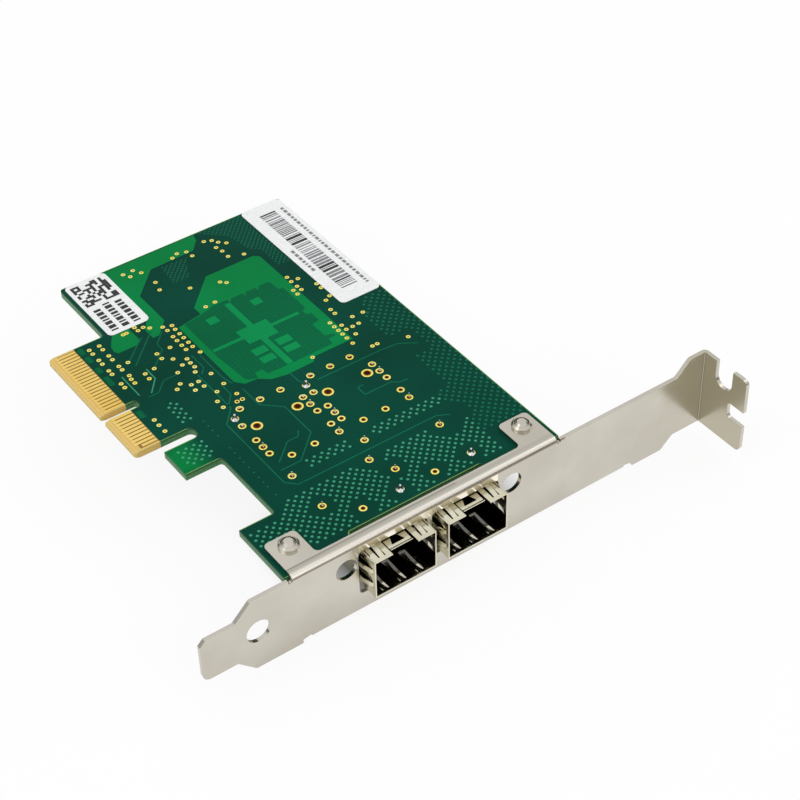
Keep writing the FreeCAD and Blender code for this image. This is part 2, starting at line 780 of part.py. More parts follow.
def regulator_leads(x):
    """Wide heat tab on one side and three leads on the other."""
    depth = regulator_size[1] / 2
    tab_w, reach = regulator_tab
    leads = [box(x - tab_w / 2, x + tab_w / 2, regulator_y + depth, regulator_y + depth + reach,
                 under_z - lead_t, under_z)]
    for k in (-1, 0, 1):
        mid = x + k * regulator_pitch
        leads.append(block(mid, regulator_y - depth - reach / 2,
                           (regulator_lead_w, reach, lead_t), under_z))
    return leads


def end_plates(x, y, size, plate_size):
    """Solderable end plates on both Y ends of a molded part."""
    w, t, h = plate_size
    return [block(x, y + s * (size[1] + t) / 2, (w, t, h), under_z) for s in (-1, 1)]


os.makedirs("parts", exist_ok=True)

save("circuit_board", make_board())
save("edge_contacts_solder_side", make_edge_pads(top_z, 0))
save("edge_contacts_component_side", make_edge_pads(under_z - pad_t, short_pads + long_pads - 1))
save("serial_sticker", sticker(serial_box))
save("barcode_sticker", sticker(barcode_box))
save("mounting_bracket", make_bracket())
save("bracket_screws", [make_bracket_screw(x) for x in screw_xs])
for side, port_x in zip(("left", "right"), port_xs):
    save(f"cage_cover_{side}", make_cage_cover(port_x))
    save(f"cage_base_{side}", make_cage_base(port_x))
    save(f"host_connector_{side}", make_housing(port_x))
    save(f"connector_contacts_{side}", make_contacts(port_x))
cap_z = under_z - substrate[2]
pad_z = cap_z - mold_cap[2]
save("controller_substrate", block(chip_x, chip_y, substrate, under_z))
save("controller_cap", block(chip_x, chip_y, mold_cap, cap_z))
save("thermal_pad", block(chip_x, chip_y, thermal_pad, pad_z))
save("heatsink", make_heatsink())
save("flash_memory", block(*flash_at, flash_size, under_z))
save("eeprom", block(*eeprom_at, eeprom_size, under_z))
save("memory_leads", gull_leads(flash_at, flash_size[1], 4) + gull_leads(eeprom_at, eeprom_size[1], 4))
save("crystal_base", block(*crystal_at, crystal_base_size, under_z))
save("crystal_lid", block(*crystal_at, crystal_lid_size, under_z - crystal_base_size[2]))
save("voltage_regulators", [block(x, regulator_y, regulator_size, under_z) for x in regulator_xs])
save("regulator_leads", [lead for x in regulator_xs for lead in regulator_leads(x)])
save("power_inductors", [block(x, inductor_y, inductor_size, under_z) for x in inductor_xs])
save("bulk_capacitors", [block(bulk_x, y, bulk_size, under_z) for y in bulk_ys])
ends = [p for x in inductor_xs for p in end_plates(x, inductor_y, inductor_size, inductor_end)]
ends += [p for y in bulk_ys for p in end_plates(bulk_x, y, bulk_size, bulk_end)]
save("power_part_terminals", ends)
capacitors, capacitor_caps = capacitor_chips()
resistors, resistor_caps = resistor_chips()
filters, filter_caps = filter_chips()
save("ceramic_capacitors", capacitors)
save("chip_resistors", resistors)
save("port_filter_inductors", filters)
save("chip_end_caps", capacitor_caps + resistor_caps + filter_caps)
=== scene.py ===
# %% [markdown]
# # A dual-port network card, dressed in Blender
# The card is a green circuit board on a folded steel bracket. Two metal cages
# for optical modules look out through the bracket, gold contacts stand on the
# left edge, and the chips and their heat sink hang under the board. The solids
# come from a CAD model that is loaded as a fixed frame. This script adds what a
# solid model leaves out: copper under the solder mask, plated holes, solder,
# labels, and a real material for every surface.

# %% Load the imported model
import math
import random

import bmesh
import bpy
from mathutils import Matrix, Vector


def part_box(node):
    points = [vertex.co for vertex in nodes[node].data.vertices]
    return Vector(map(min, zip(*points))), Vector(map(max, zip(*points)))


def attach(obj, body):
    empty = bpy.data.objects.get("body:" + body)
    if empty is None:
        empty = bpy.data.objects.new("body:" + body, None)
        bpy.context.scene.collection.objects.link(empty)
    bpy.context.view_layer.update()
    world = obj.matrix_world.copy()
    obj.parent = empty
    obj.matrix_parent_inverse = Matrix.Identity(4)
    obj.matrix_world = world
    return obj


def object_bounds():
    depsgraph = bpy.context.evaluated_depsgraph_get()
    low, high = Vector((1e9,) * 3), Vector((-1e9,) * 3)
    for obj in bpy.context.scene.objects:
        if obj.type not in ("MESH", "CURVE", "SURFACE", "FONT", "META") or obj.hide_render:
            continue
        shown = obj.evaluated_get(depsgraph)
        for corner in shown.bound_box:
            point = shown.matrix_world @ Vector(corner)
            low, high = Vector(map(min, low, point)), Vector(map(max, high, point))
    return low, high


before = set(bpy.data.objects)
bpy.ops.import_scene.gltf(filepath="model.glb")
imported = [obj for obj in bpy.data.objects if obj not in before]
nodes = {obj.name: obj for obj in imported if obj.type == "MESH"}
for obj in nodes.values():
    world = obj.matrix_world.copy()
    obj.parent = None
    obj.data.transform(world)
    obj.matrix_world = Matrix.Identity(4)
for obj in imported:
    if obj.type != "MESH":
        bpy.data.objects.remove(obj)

MM = 0.001
SIDES = ("left", "right")
cad_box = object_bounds()


def box_mm(name):
    """Lowest and highest corners of a CAD node in millimetres."""
    return [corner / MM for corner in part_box(name)]


board_low, board_high = box_mm("circuit_board")
top_mm, under_mm = board_high.z, board_low.z
cage_boxes = [box_mm(f"cage_cover_{side}") for side in SIDES]
cage_mid = [(low.x + high.x) / 2 for low, high in cage_boxes]
cage_front, cage_rear = cage_boxes[0][0].y, cage_boxes[0][1].y
print("CAD nodes:", len(nodes), "board top at", round(top_mm, 3), "mm")

# %% [markdown]
# ## Small helpers
# Colours are written as the sRGB hex codes that a paint program shows. Blender
# works in linear light, so one function converts them. A second function adds a
# shader node, sets it up and links it, so that every material below reads as a
# short recipe from the coordinates to the surface.

# %% Colour, node and material helpers
def colour(code):
    """Linear RGBA of an sRGB hex code such as 00482F."""
    channels = [int(code[i:i + 2], 16) / 255 for i in (0, 2, 4)]
    linear = [c / 12.92 if c <= 0.04045 else ((c + 0.055) / 1.055) ** 2.4 for c in channels]
    return (*linear, 1.0)


def socket_of(sockets, key):
    """A socket by position, identifier or name."""
    if isinstance(key, int):
        return sockets[key]
    same = [s for s in sockets if s.identifier == key]
    return same[0] if same else sockets[key]


def add(tree, kind, inputs=None, **settings):
    """Adds a node; an input is a plain value or the output socket that feeds it."""
    node = tree.nodes.new(kind)
    for name, value in settings.items():
        setattr(node, name, value)
    for key, value in (inputs or {}).items():
        socket = socket_of(node.inputs, key)
        if isinstance(value, bpy.types.NodeSocket):
            tree.links.new(value, socket)
        else:
            socket.default_value = value
    return node


def start_material(name):
    """An empty material and a socket with Object coordinates in metres."""
    material = bpy.data.materials.new(name)
    material.use_nodes = True
    tree = material.node_tree
    tree.nodes.clear()
    place = add(tree, "ShaderNodeTexCoord").outputs["Object"]
    return material, tree, place


def finish_material(tree, shader):
    add(tree, "ShaderNodeOutputMaterial", {"Surface": shader.outputs[0]})


def noise(tree, place, size_mm, detail=3.0, stretch=(1, 1, 1)):
    """Noise whose blotches are about size_mm across; stretch below 1 lengthens them."""
    scaled = add(tree, "ShaderNodeMapping", {"Vector": place, "Scale": stretch})
    return add(tree, "ShaderNodeTexNoise", {
        "Vector": scaled.outputs[0], "Scale": 1 / (size_mm * MM), "Detail": detail}).outputs["Fac"]


def ramp(tree, factor, stops):
    """Colour ramp from (position, hex code) stops."""
    node = add(tree, "ShaderNodeValToRGB", {"Fac": factor})
    elements = node.color_ramp.elements
    while len(elements) < len(stops):
        elements.new(0.5)
    for element, (position, code) in zip(elements, stops):
        element.position = position
        element.color = colour(code)
    return node.outputs["Color"]


def spread(tree, factor, low, high):
    """Maps a 0 to 1 factor to a range."""
    return add(tree, "ShaderNodeMapRange", {
        "Value": factor, "To Min": low, "To Max": high}).outputs["Result"]


def rise(tree, value, start, stop, **settings):
    """Maps a value to a factor: 0 at start, 1 at stop, and no further."""
    return add(tree, "ShaderNodeMapRange", {
        "Value": value, "From Min": start, "From Max": stop}, **settings).outputs["Result"]


def new_object(name, data):
    """An object of this data, linked into the scene."""
    thing = bpy.data.objects.new(name, data)
    bpy.context.scene.collection.objects.link(thing)
    return thing


def split(tree, vector):
    """The X, Y and Z outputs of a vector."""
    return add(tree, "ShaderNodeSeparateXYZ", {"Vector": vector}).outputs


def bump(tree, height, distance_mm, normal=None):
    """Normal of a relief of the given depth, on top of another normal if there is one."""
    inputs = {"Height": height, "Distance": distance_mm * MM, "Strength": 1.0}
    if normal is not None:
        inputs["Normal"] = normal
    return add(tree, "ShaderNodeBump", inputs).outputs["Normal"]


def mix(tree, factor, first, second):
    """First colour at factor 0, second colour at factor 1."""
    node = add(tree, "ShaderNodeMix", {"Factor_Float": factor, "A_Color": first, "B_Color": second},
               data_type="RGBA")
    return socket_of(node.outputs, "Result_Color")


def tint(tree, shader, factor, code):
    """Lays a tone over a shader's base colour where the factor is 1."""
    base = shader.inputs["Base Color"]
    tree.links.new(mix(tree, factor, base.links[0].from_socket, colour(code)), base)


def calc(tree, operation, first, second=0.0):
    """Result of one math step."""
    return add(tree, "ShaderNodeMath", {0: first, 1: second}, operation=operation).outputs[0]


def times(tree, first, second):
    return calc(tree, "MULTIPLY", first, second)


def box_mask(tree, place, low_mm, high_mm, soft_mm, axes="XYZ"):
    """1 inside a box given in millimetres and 0 outside it, with a soft border."""
    parts = split(tree, place)
    least = None
    for axis, low, high in zip(axes, low_mm, high_mm):
        off = calc(tree, "SUBTRACT", parts[axis], (low + high) / 2 * MM)
        depth = calc(tree, "SUBTRACT", (high - low) / 2 * MM, calc(tree, "ABSOLUTE", off))
        least = depth if least is None else calc(tree, "MINIMUM", least, depth)
    return rise(tree, least, -soft_mm * MM, soft_mm * MM)


print("helpers ready")

# %% [markdown]
# ## Solder mask over glass-fibre laminate
# The board is woven glass and epoxy with a coat of green solder mask. The mask
# is a lacquer, a few hundredths of a millimetre thick, so the surface shows the
# faint weave of the cloth below it, drawn at 0.6 mm. The cut edge has no mask
# and shows the plies of the laminate. Along the routed rim a painted highlight
# turns the mask pale, except on the edges that face -X. The tongues of the card
# edge have gold round their contacts instead, with a painted highlight along
# their edges. One material does all of it: the facing of the surface and boxes
# in plan pick the recipe.

# %% Board material
def mask_surface(name, dark, light, gloss=0.22):
    """Solder mask with a slow change of tone and the weave of the cloth."""
    material, tree, place = start_material(name)
    tone = ramp(tree, noise(tree, place, 30, 2.0), [(0.3, dark), (0.7, light)])
    threads = add(tree, "ShaderNodeTexChecker", {"Vector": place, "Scale": 1 / (0.6 * MM)})
    cloth = calc(tree, "ADD", noise(tree, place, 0.5, 2.0), threads.outputs["Fac"])
    shader = add(tree, "ShaderNodeBsdfPrincipled", {
        "Base Color": tone, "Normal": bump(tree, cloth, 0.012), "IOR": 1.5, "Specular IOR Level": 0.04,
        "Roughness": spread(tree, noise(tree, place, 6, 3.0), gloss, gloss + 0.12)})
    return material, tree, place, shader


# Boxes in plan in millimetres: lowest and highest corner
TONGUES = ((-1.0, -13.4), (5.75, 23.4))
PAD_ROWS = (((1.75, 1.6), (5.75, 22.1)), ((1.75, -12.1), (5.75, -1.6)))
HOOK_TAB = ((-1.0, -24.5), (9.6, -15.0))


def edge_highlight_masks(tree, normal):
    """Masks of a painted highlight: 1 along all edges of the board, and 1 along those that don't face -X.
    """
    rounded = add(tree, "ShaderNodeBevel", {"Radius": 0.40 * MM}, samples=6).outputs[0]
    turned = add(tree, "ShaderNodeVectorMath", {0: rounded, 1: normal}, operation="DOT_PRODUCT")
    edge_highlight = rise(tree, turned.outputs["Value"], 0.998, 0.94)
    not_facing_left = rise(tree, split(tree, rounded)["X"], -0.25, -0.05)
    return edge_highlight, times(tree, edge_highlight, not_facing_left)


def laminate_shader(tree, place, flat, edge_highlight, tongues):
    """Cut plies of glass and epoxy, with gold plating on the tongues and a painted highlight along their
    edges.
    """
    height = split(tree, place)["Z"]
    plies = calc(tree, "SINE", times(tree, height, 2 * math.pi / (0.2 * MM)))
    plies = spread(tree, plies, 0.35, 0.65)
    green = ramp(tree, plies, [(0.0, "346E42"), (1.0, "66A066")])
    green = mix(tree, rise(tree, height, 0.1 * MM, 0.75 * MM), green, colour("12492C"))
    plated = ramp(tree, plies, [(0.0, "D2A850"), (1.0, "F0D080")])
    pads = calc(tree, "MAXIMUM", *(box_mask(tree, place, *row, 0.05, "XY") for row in PAD_ROWS))
    plated = mix(tree, times(tree, flat, pads), plated, colour("8A6524"))
    # Painted highlight: the gold of the tongues turns pale along their edges.
    plated = mix(tree, times(tree, edge_highlight, 0.6), plated, colour("C9D08A"))
    return add(tree, "ShaderNodeBsdfPrincipled", {
        "Base Color": mix(tree, tongues, green, plated),
        "Normal": bump(tree, noise(tree, place, 0.15), 0.03), "Roughness": 0.5})


def board_material():
    material, tree, place, mask = mask_surface("solder_mask_green", "003A2C", "004838")
    normal = add(tree, "ShaderNodeNewGeometry").outputs["True Normal"]
    facing = calc(tree, "ABSOLUTE", split(tree, normal)["Z"])
    flat = calc(tree, "GREATER_THAN", facing, 0.9)
    tongues = box_mask(tree, place, *TONGUES, 0.02, "XY")
    edge_highlight, painted_rim_highlight = edge_highlight_masks(tree, normal)
    tint(tree, mask, box_mask(tree, place, *HOOK_TAB, 2.6, "XY"), "007A3C")
    # Painted highlight: the mask turns pale along the edges, except where they face -X.
    tint(tree, mask, painted_rim_highlight, "8DBB6A")
    laminate = laminate_shader(tree, place, flat, edge_highlight, tongues)
    masked = times(tree, flat, calc(tree, "SUBTRACT", 1.0, tongues))
    both = add(tree, "ShaderNodeMixShader", {0: masked, 1: laminate.outputs[0], 2: mask.outputs[0]})
    finish_material(tree, both)
    return material


board_green = board_material()
coats = {}
# The last coat is dark brown: the mask over a tented via, and painted shade in the other bores.
for name, dark, light in (
        ("solder_mask_over_copper", "00773A", "008446"), ("solder_mask_over_plane", "00824A", "078E4E"),
        ("mask_over_thieving_dots", "35916E", "4A9F7C"), ("mask_over_buried_dots", "0E5E49", "1C7456"),
        ("mask_over_traces", "0C5E46", "1A7054"), ("tented_bore", "220B02", "3C1805")):
    coats[name], tree, place, shader = mask_surface(name, dark, light, 0.20)
    finish_material(tree, shader)
pour_green, plane_green, dot_green, faint_green, trace_green, bore_fill_and_shade = coats.values()
print("board materials ready:", len(coats) + 1)

# %% [markdown]
# ## Fine copper patterns
# Under the controller the copper is broken into a fine grid of ball pads, and
# near the far edge it is a diagonal hatch of short dashes. Both repeat far too
# often for geometry, so two materials draw them from Object coordinates, at
# 0.8 mm for the balls and 1.25 mm for the rows of the hatch.

# %% Ball-grid and hatch materials
def ball_field_material():
    material, tree, place, shader = mask_surface("solder_mask_over_ball_pads", "005C38", "006840")
    cells = add(tree, "ShaderNodeTexVoronoi", {
        "Vector": place, "Scale": 1 / (0.8 * MM), "Randomness": 0.15})
    pads = calc(tree, "LESS_THAN", cells.outputs["Distance"], 0.32)
    tint(tree, shader, spread(tree, pads, 0.0, 0.28), "00482C")
    tree.links.new(bump(tree, pads, 0.02), shader.inputs["Normal"])
    finish_material(tree, shader)
    return material


def hatch_material():
    material, tree, place, shader = mask_surface("solder_mask_over_hatch", "003D2E", "004A38")
    axes = split(tree, place)
    cuts = []
    for direction, pitch_mm, gap in (("SUBTRACT", 1.25, 0.6), ("ADD", 1.1, 0.4)):
        steps = calc(tree, "DIVIDE", calc(tree, direction, axes["Y"], axes["X"]), pitch_mm * MM)
        cuts.append(calc(tree, "GREATER_THAN", calc(tree, "FRACT", steps), gap))
    tint(tree, shader, spread(tree, times(tree, *cuts), 0.0, 0.6), "26725A")
    finish_material(tree, shader)
    return material


ball_green = ball_field_material()
hatch_green = hatch_material()
print("pattern materials ready")

# %% [markdown]
# ## Metals
# Contacts and plated holes are gold over nickel. The bracket is nickel-plated
# steel sheet, rolled, so its faint grain runs along the sheet. The cages are
# bright tin-nickel over copper alloy, the solder and the terminals are tin, and
# the heat sink is extruded aluminium. A metal has no colour of its own below its
# reflection, so each one is a reflectance, a roughness and a grain. Highlights,
# reflections and shade are painted into the bracket and the cages in zones. A
# zone is a box in millimetres, the width of its soft border and its tone.

# %% Metal materials
def metal(name, dark, light, rough, grain_mm, stretch=(1, 1, 1), depth_mm=0.004, edge_mm=0.0,
          painted_light_zones=()):
    """Metal with a grain of grain_mm, drawn out along one axis by stretch, and painted light or shade in
    zones.
    """
    material, tree, place = start_material(name)
    grain = noise(tree, place, grain_mm, 4.0, stretch)
    tone = ramp(tree, noise(tree, place, 14, 3.0), [(0.35, dark), (0.65, light)])
    normal = None
    if edge_mm:
        normal = add(tree, "ShaderNodeBevel", {"Radius": edge_mm * MM}, samples=4).outputs[0]
    shader = add(tree, "ShaderNodeBsdfPrincipled", {
        "Base Color": tone, "Metallic": 1.0,
        "Roughness": spread(tree, grain, rough, rough + 0.14),
        "Normal": bump(tree, grain, depth_mm, normal)})
    # Painted light: each zone lays a lighter or darker tone into the base colour.
    for low_mm, high_mm, soft_mm, code in painted_light_zones:
        tint(tree, shader, box_mask(tree, place, low_mm, high_mm, soft_mm), code)
    finish_material(tree, shader)
    return material


def bracket_painted_light():
    """Painted shade, reflection and highlights round the flange fold, along the strip over the board and
    over the ports.
    """
    sheet, flange = 0.86, 12.0
    low, high = box_mm("mounting_bracket")
    fold_x, face_y, below, above = high.x - sheet, low.y + flange, -20, 6
    strip_end, crease_shade_end = 69.0, 44.0
    # Each row: range in X, in Y from the face and in Z, then soft border and tone; each tone is painted
    # shade, reflection or highlight
    rows = (
        # Painted shade beside the fold, painted reflection on the flange, painted shade in the fold's
        # corner
        (fold_x - 9.0, fold_x + 0.3, -0.3, 0.3, below, above, 3.0, "C2BCAC"),
        (fold_x - 0.3, fold_x + 0.12, -13.0, -0.1, below, above, 0.1, "B9B39E"),
        (fold_x - 0.35, fold_x + 0.1, -0.35, 0.1, below, above, 0.05, "B2AC9C"),
        # Painted shade on the strip over the board, darker still along its crease
        (5.0, strip_end, 1.15, 2.15, 1.2, 2.0, 0.12, "BCB8AD"),
        (5.0, crease_shade_end, 1.80, 2.15, 1.2, 2.0, 0.12, "9C998D"),
        # Painted highlight on the bend, and a painted dark line of shade below it
        (5.0, strip_end, 0.28, 0.80, 1.15, 2.0, 0.10, "EEE8DE"),
        (5.0, strip_end, -0.2, 0.2, 0.58, 0.92, 0.08, "8B8270"),
        # Painted highlight on the face over the ports
        (cage_mid[0] - 7.75, cage_mid[1] + 7.75, -0.2, 0.2, -1.2, 0.50, 0.08, "FFF6E6"))
    return [((x0, face_y + near, bottom), (x1, face_y + far, top), soft, code)
            for x0, x1, near, far, bottom, top, soft, code in rows]


def cage_painted_shade():
    """Painted shade: olive where a cage passes the bracket, and dark inside it."""
    painted_light_zones = []
    for middle in cage_mid:
        painted_light_zones += [((middle - 8.4, cage_front + 2.9, -11.4), (middle + 8.4, cage_front + 4.6, -0.3),
                   0.9, "8C8568"),
                  ((middle - 6.88, cage_front + 0.35, -10.03), (middle + 6.88, cage_rear, -1.85),
                   0.12, "5E5848")]
    return painted_light_zones


gold = metal("gold_over_nickel", "F2CC68", "FCDC80", 0.24, 0.3, (0.2, 1, 1))
ring_gold = metal("immersion_gold", "FFEA68", "FFF590", 0.20, 0.2)
# Darker gold: painted shade on the wall of a bore.
bore_wall_shade_gold = metal("gold_in_the_bore_painted_shade", "9A5A12", "BF7C28", 0.35, 0.2)
bracket_nickel = metal("nickel_plated_steel_sheet", "C6C0B4", "D0CBBF", 0.16, 0.35, (0.08, 1, 1),
                       0.002, 0.10, bracket_painted_light())
cage_nickel = metal("tin_nickel_plated_alloy", "DAD5BC", "EAE6D0", 0.10, 0.4, (1, 0.12, 1),
                    0.003, 0.05, cage_painted_shade())
screw_nickel = metal("nickel_plated_screw", "C6C1B7", "D2CDC3", 0.16, 0.25, (1, 1, 0.3), 0.003, 0.10)
solder = metal("tin_silver_solder", "A4A6A8", "D8DADB", 0.08, 0.5, (1, 1, 1), 0.08)
tin = metal("tin_plated_terminals", "C6C6C2", "D8D8D4", 0.30, 0.1)
aluminium = metal("extruded_aluminium", "B9BCC0", "CACDD1", 0.34, 0.3, (1, 0.06, 1), 0.008)
print("metal materials ready")

# %% [markdown]
# ## Plastics, ceramics and paper
# Chips are black moulded epoxy, matt from its mineral filler. Connector bodies
# are a glass-filled polymer with a slight flow texture. Capacitors are baked
# ceramic, and the labels are coated paper with black and thin grey toner.

# %% Non-metal materials
def moulded(name, dark, light, rough, grain_mm, depth_mm=0.006, coat=0.0):
    """Matt solid with a fine grain and blotches six times its size."""
    material, tree, place = start_material(name)
    grain = noise(tree, place, grain_mm, 5.0)
    shader = add(tree, "ShaderNodeBsdfPrincipled", {
        "Base Color": ramp(tree, noise(tree, place, grain_mm * 6), [(0.35, dark), (0.65, light)]),
        "Roughness": spread(tree, grain, rough - 0.06, rough + 0.08),
        "Coat Weight": coat, "Coat Roughness": 0.2,
        "Normal": bump(tree, grain, depth_mm)})
    finish_material(tree, shader)
    return material


black_polymer = moulded("glass_filled_polymer", "0E0E0F", "18181A", 0.42, 0.25)
epoxy = moulded("moulded_epoxy", "161618", "202023", 0.62, 0.12)
ferrite = moulded("pressed_iron_powder", "2C2C2F", "3B3B3F", 0.70, 0.20, 0.02)
capacitor_case = moulded("polymer_capacitor_case", "1C1C1E", "28282B", 0.45, 0.3)
ceramic = moulded("barium_titanate_ceramic", "8A6A45", "A58458", 0.48, 0.15)
resistor_film = moulded("glazed_resistor_film", "0B0B10", "15151C", 0.22, 0.2, 0.004, 0.5)
legend_ink = moulded("white_legend_ink", "D2D3CE", "E4E5E0", 0.55, 0.15, 0.004)
alumina = moulded("alumina_ceramic", "C9C4B6", "DAD6CA", 0.5, 0.1)
gap_filler = moulded("soft_thermal_pad", "8E949E", "A0A6B0", 0.75, 0.3)
package_green = moulded("package_laminate", "0F3F22", "17502D", 0.35, 0.3)
label_white = moulded("coated_label_paper", "E8EAE9", "F3F5F4", 0.48, 0.10, 0.004)
toner_black = moulded("black_toner", "1A1A1C", "28282B", 0.55, 0.10)
toner_grey = moulded("thin_toner", "77777B", "8C8C90", 0.55, 0.10)
print("plastic and paper materials ready")

# %% [markdown]
# ## Materials onto the CAD nodes
# Every node keeps its mesh. Only the material in its slots changes.

# %% Assign the materials
worn_by = {
    board_green: ["circuit_board"],
    gold: ["edge_contacts_solder_side", "edge_contacts_component_side",
           *(f"connector_contacts_{side}" for side in SIDES)],
    label_white: ["serial_sticker", "barcode_sticker"],
    bracket_nickel: ["mounting_bracket"],
    screw_nickel: ["bracket_screws", "crystal_lid"],
    package_green: ["controller_substrate"],
    gap_filler: ["thermal_pad"],
    aluminium: ["heatsink"],
    epoxy: ["controller_cap", "flash_memory", "eeprom", "voltage_regulators"],
    tin: ["memory_leads", "regulator_leads", "power_part_terminals", "chip_end_caps"],
    alumina: ["crystal_base"],
    ferrite: ["power_inductors", "port_filter_inductors"],
    capacitor_case: ["bulk_capacitors"],
    ceramic: ["ceramic_capacitors"],
    resistor_film: ["chip_resistors"],
    cage_nickel: [f"cage_{part}_{side}" for part in ("cover", "base") for side in SIDES],
    black_polymer: [f"host_connector_{side}" for side in SIDES],
}
finish_of = {name: finish for finish, names in worn_by.items() for name in names}

for name, node in nodes.items():
    for slot in node.material_slots:
        slot.material = finish_of[name]
print("nodes with a finish:", len(finish_of))

# %% [markdown]
# ## Thin layers on the board
# A copper area shows through the mask as a brighter, slightly raised shape. Each
# one is a flat outline with a little thickness, laid on the board. A layer that
# overlaps another lies a hundredth of a millimetre higher, so no plane is shared.

# %% Layers of copper under the mask
def place_piece(name, mesh, material):
    """Links a finished mesh as a piece that rides on the card."""
    piece = new_object(name, mesh)
    if material is not None:
        mesh.materials.clear()
        mesh.materials.append(material)
    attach(piece, "root")


def finished_mesh(name, form):
    """Mesh of a shape whose faces all point outward."""
    bmesh.ops.recalc_face_normals(form, faces=form.faces)
    mesh = bpy.data.meshes.new(name)
    form.to_mesh(mesh)
    form.free()
    return mesh


def place_plates(name, outlines, low, high, finish):
    """Flat plates with vertical sides from outlines in millimetres, as one piece."""
    form = bmesh.new()
    for outline in outlines:
        corners = [form.verts.new(Vector((x, y, low)) * MM) for x, y in outline]
        face = form.faces.new(corners)
        grown = bmesh.ops.extrude_face_region(form, geom=[face])
        raised = [v for v in grown["geom"] if isinstance(v, bmesh.types.BMVert)]
        bmesh.ops.translate(form, verts=raised, vec=(0, 0, (high - low) * MM))
    place_piece(name, finished_mesh(name, form), finish)


def rect(x0, x1, y0, y1):
    return [(x0, y0), (x1, y0), (x1, y1), (x0, y1)]


def board_layer(name, outlines, level, finish):
    """Plates on the top face whose tops lie at a copper level above it."""
    place_plates(name, outlines, top_mm - 0.02, top_mm + level * layer_step, finish)


layer_step = 0.012
far_pour = [(23.4, 41.45), (46, 41.45), (45.5, 39.4), (43, 36.6), (32.2, 36.3), (25.6, 29.6),
            (25.6, 19.4), (22.2, 15.8), (20.8, 15.8), (20.8, 19.2), (22.6, 21.5), (23.4, 24)]
small_pour = [(12.6, 15.8), (12.1, 16.6), (12.3, 18.4), (14.2, 21.4), (18.2, 21.4), (18.3, 17), (17, 15.8)]
controller_pour = [(32.7, 19.2), (40.4, 27), (52.4, 27), (53.5, 25.9), (53.5, -9.3), (43.9, -9.3),
                   (43, -10.6), (36.6, -10.7), (33.2, -10), (31, -8.2), (28.2, -8), (26.7, -6.2),
                   (26.7, 15.5), (32.7, 16.6)]
contact_patches = [rect(6.1, 7.3, 19.6, 21.8), rect(6.1, 7.3, 16.4, 18.7), rect(6.1, 7.3, 12.4, 14.4),
                   rect(6.1, 7.3, 7.6, 10.9), rect(6.1, 7.4, -4.6, -2.1)]
board_layer("contact_ground_patches", contact_patches, 1, ball_green)
board_layer("copper_pours", [far_pour, small_pour, controller_pour], 1, pour_green)

ball_field = [(28.2, 15.6), (33, 16.4), (36.2, 17.4), (39.7, 17.4), (39.9, 16.2), (40.6, 17.2),
              (43.4, 17.2), (43.6, 16), (44.2, 17.2), (46.6, 17.2), (46.8, 16), (47.6, 17.3),
              (50.2, 17.2), (50.4, 13.9), (51.4, 13.6), (51.4, 5.2), (50.4, 4.6), (50.4, 3.2),
              (51.4, 2.8), (51.4, 0), (49.5, -0.4), (49.5, -5), (51.4, -5.6), (51.4, -6.2), (49.6, -6.3),
              (49.4, -8.1), (40.6, -8.2), (37, -8.2), (33.6, -8), (33.4, -6.3), (31.6, -6.3),
              (31.2, -8.1), (29, -7), (28.6, -2.2), (28.2, 2)]
board_layer("ball_grid_field", [ball_field], 2, ball_green)

planes = [rect(38.3, 39.7, -8.1, 16.2), rect(28.4, 38.3, 4.1, 5), rect(39.7, 49.3, 4.1, 5),
          rect(35.4, 38.3, 5, 7.1), rect(35.6, 38.3, 2, 4.1), rect(39.7, 42.7, 5, 7),
          rect(39.7, 42.5, 1.6, 4.1), rect(34.6, 37.8, -2.1, 0.1), rect(40.4, 43.7, -2.1, 0.1),
          rect(34.6, 37.8, -5, -3), rect(40.4, 43.7, -5, -3), rect(32.4, 34.8, 12.1, 14.3),
          rect(43.3, 45.5, 12.1, 14.2)]
board_layer("ground_planes", planes, 3, plane_green)

hatches = [[(47, 41.45), (57.9, 41.45), (57.9, 21), (55, 21), (55, 28), (53, 30), (52, 36)],
           [(33.6, 29), (37.4, 29), (40.6, 35.6), (34.2, 35.6)]]
board_layer("copper_hatch", hatches, 1, hatch_green)
print("planes:", len(planes), "patches:", len(contact_patches), "hatches:", len(hatches))

# %% [markdown]
# ## The component side
# The underside carries the parts. Copper lies round the power parts, and a white
# legend draws a frame around each larger part. Both are worked out from the parts
# themselves: the loose bodies of a node are found in its mesh, and each gets a
# line or a plate around its plan.

# %% Copper and legend under the board
def plan_boxes(name):
    """Plan boxes (x0, x1, y0, y1) in millimetres of the loose bodies of a node."""
    form = bmesh.new()
    form.from_mesh(nodes[name].data)
    bmesh.ops.transform(form, verts=form.verts, matrix=nodes[name].matrix_world)
    bmesh.ops.remove_doubles(form, verts=form.verts, dist=0.001 * MM)
    waiting, boxes = set(form.verts), []
    while waiting:
        body, found = [], [waiting.pop()]
        while found:
            vertex = found.pop()
            body.append(vertex.co)
            for edge in vertex.link_edges:
                other = edge.other_vert(vertex)
                if other in waiting:
                    waiting.remove(other)
                    found.append(other)
        xs, ys = [co.x / MM for co in body], [co.y / MM for co in body]
        boxes.append((min(xs), max(xs), min(ys), max(ys)))
    form.free()
    return sorted(boxes)


def frame_lines(box, gap=0.45, line=0.16):
    """Four bars that frame a plan box."""
    x0, x1, y0, y1 = box[0] - gap, box[1] + gap, box[2] - gap, box[3] + gap
    return [rect(x0, x1, y0 - line, y0), rect(x0, x1, y1, y1 + line),
            rect(x0 - line, x0, y0 - line, y1 + line), rect(x1, x1 + line, y0 - line, y1 + line)]


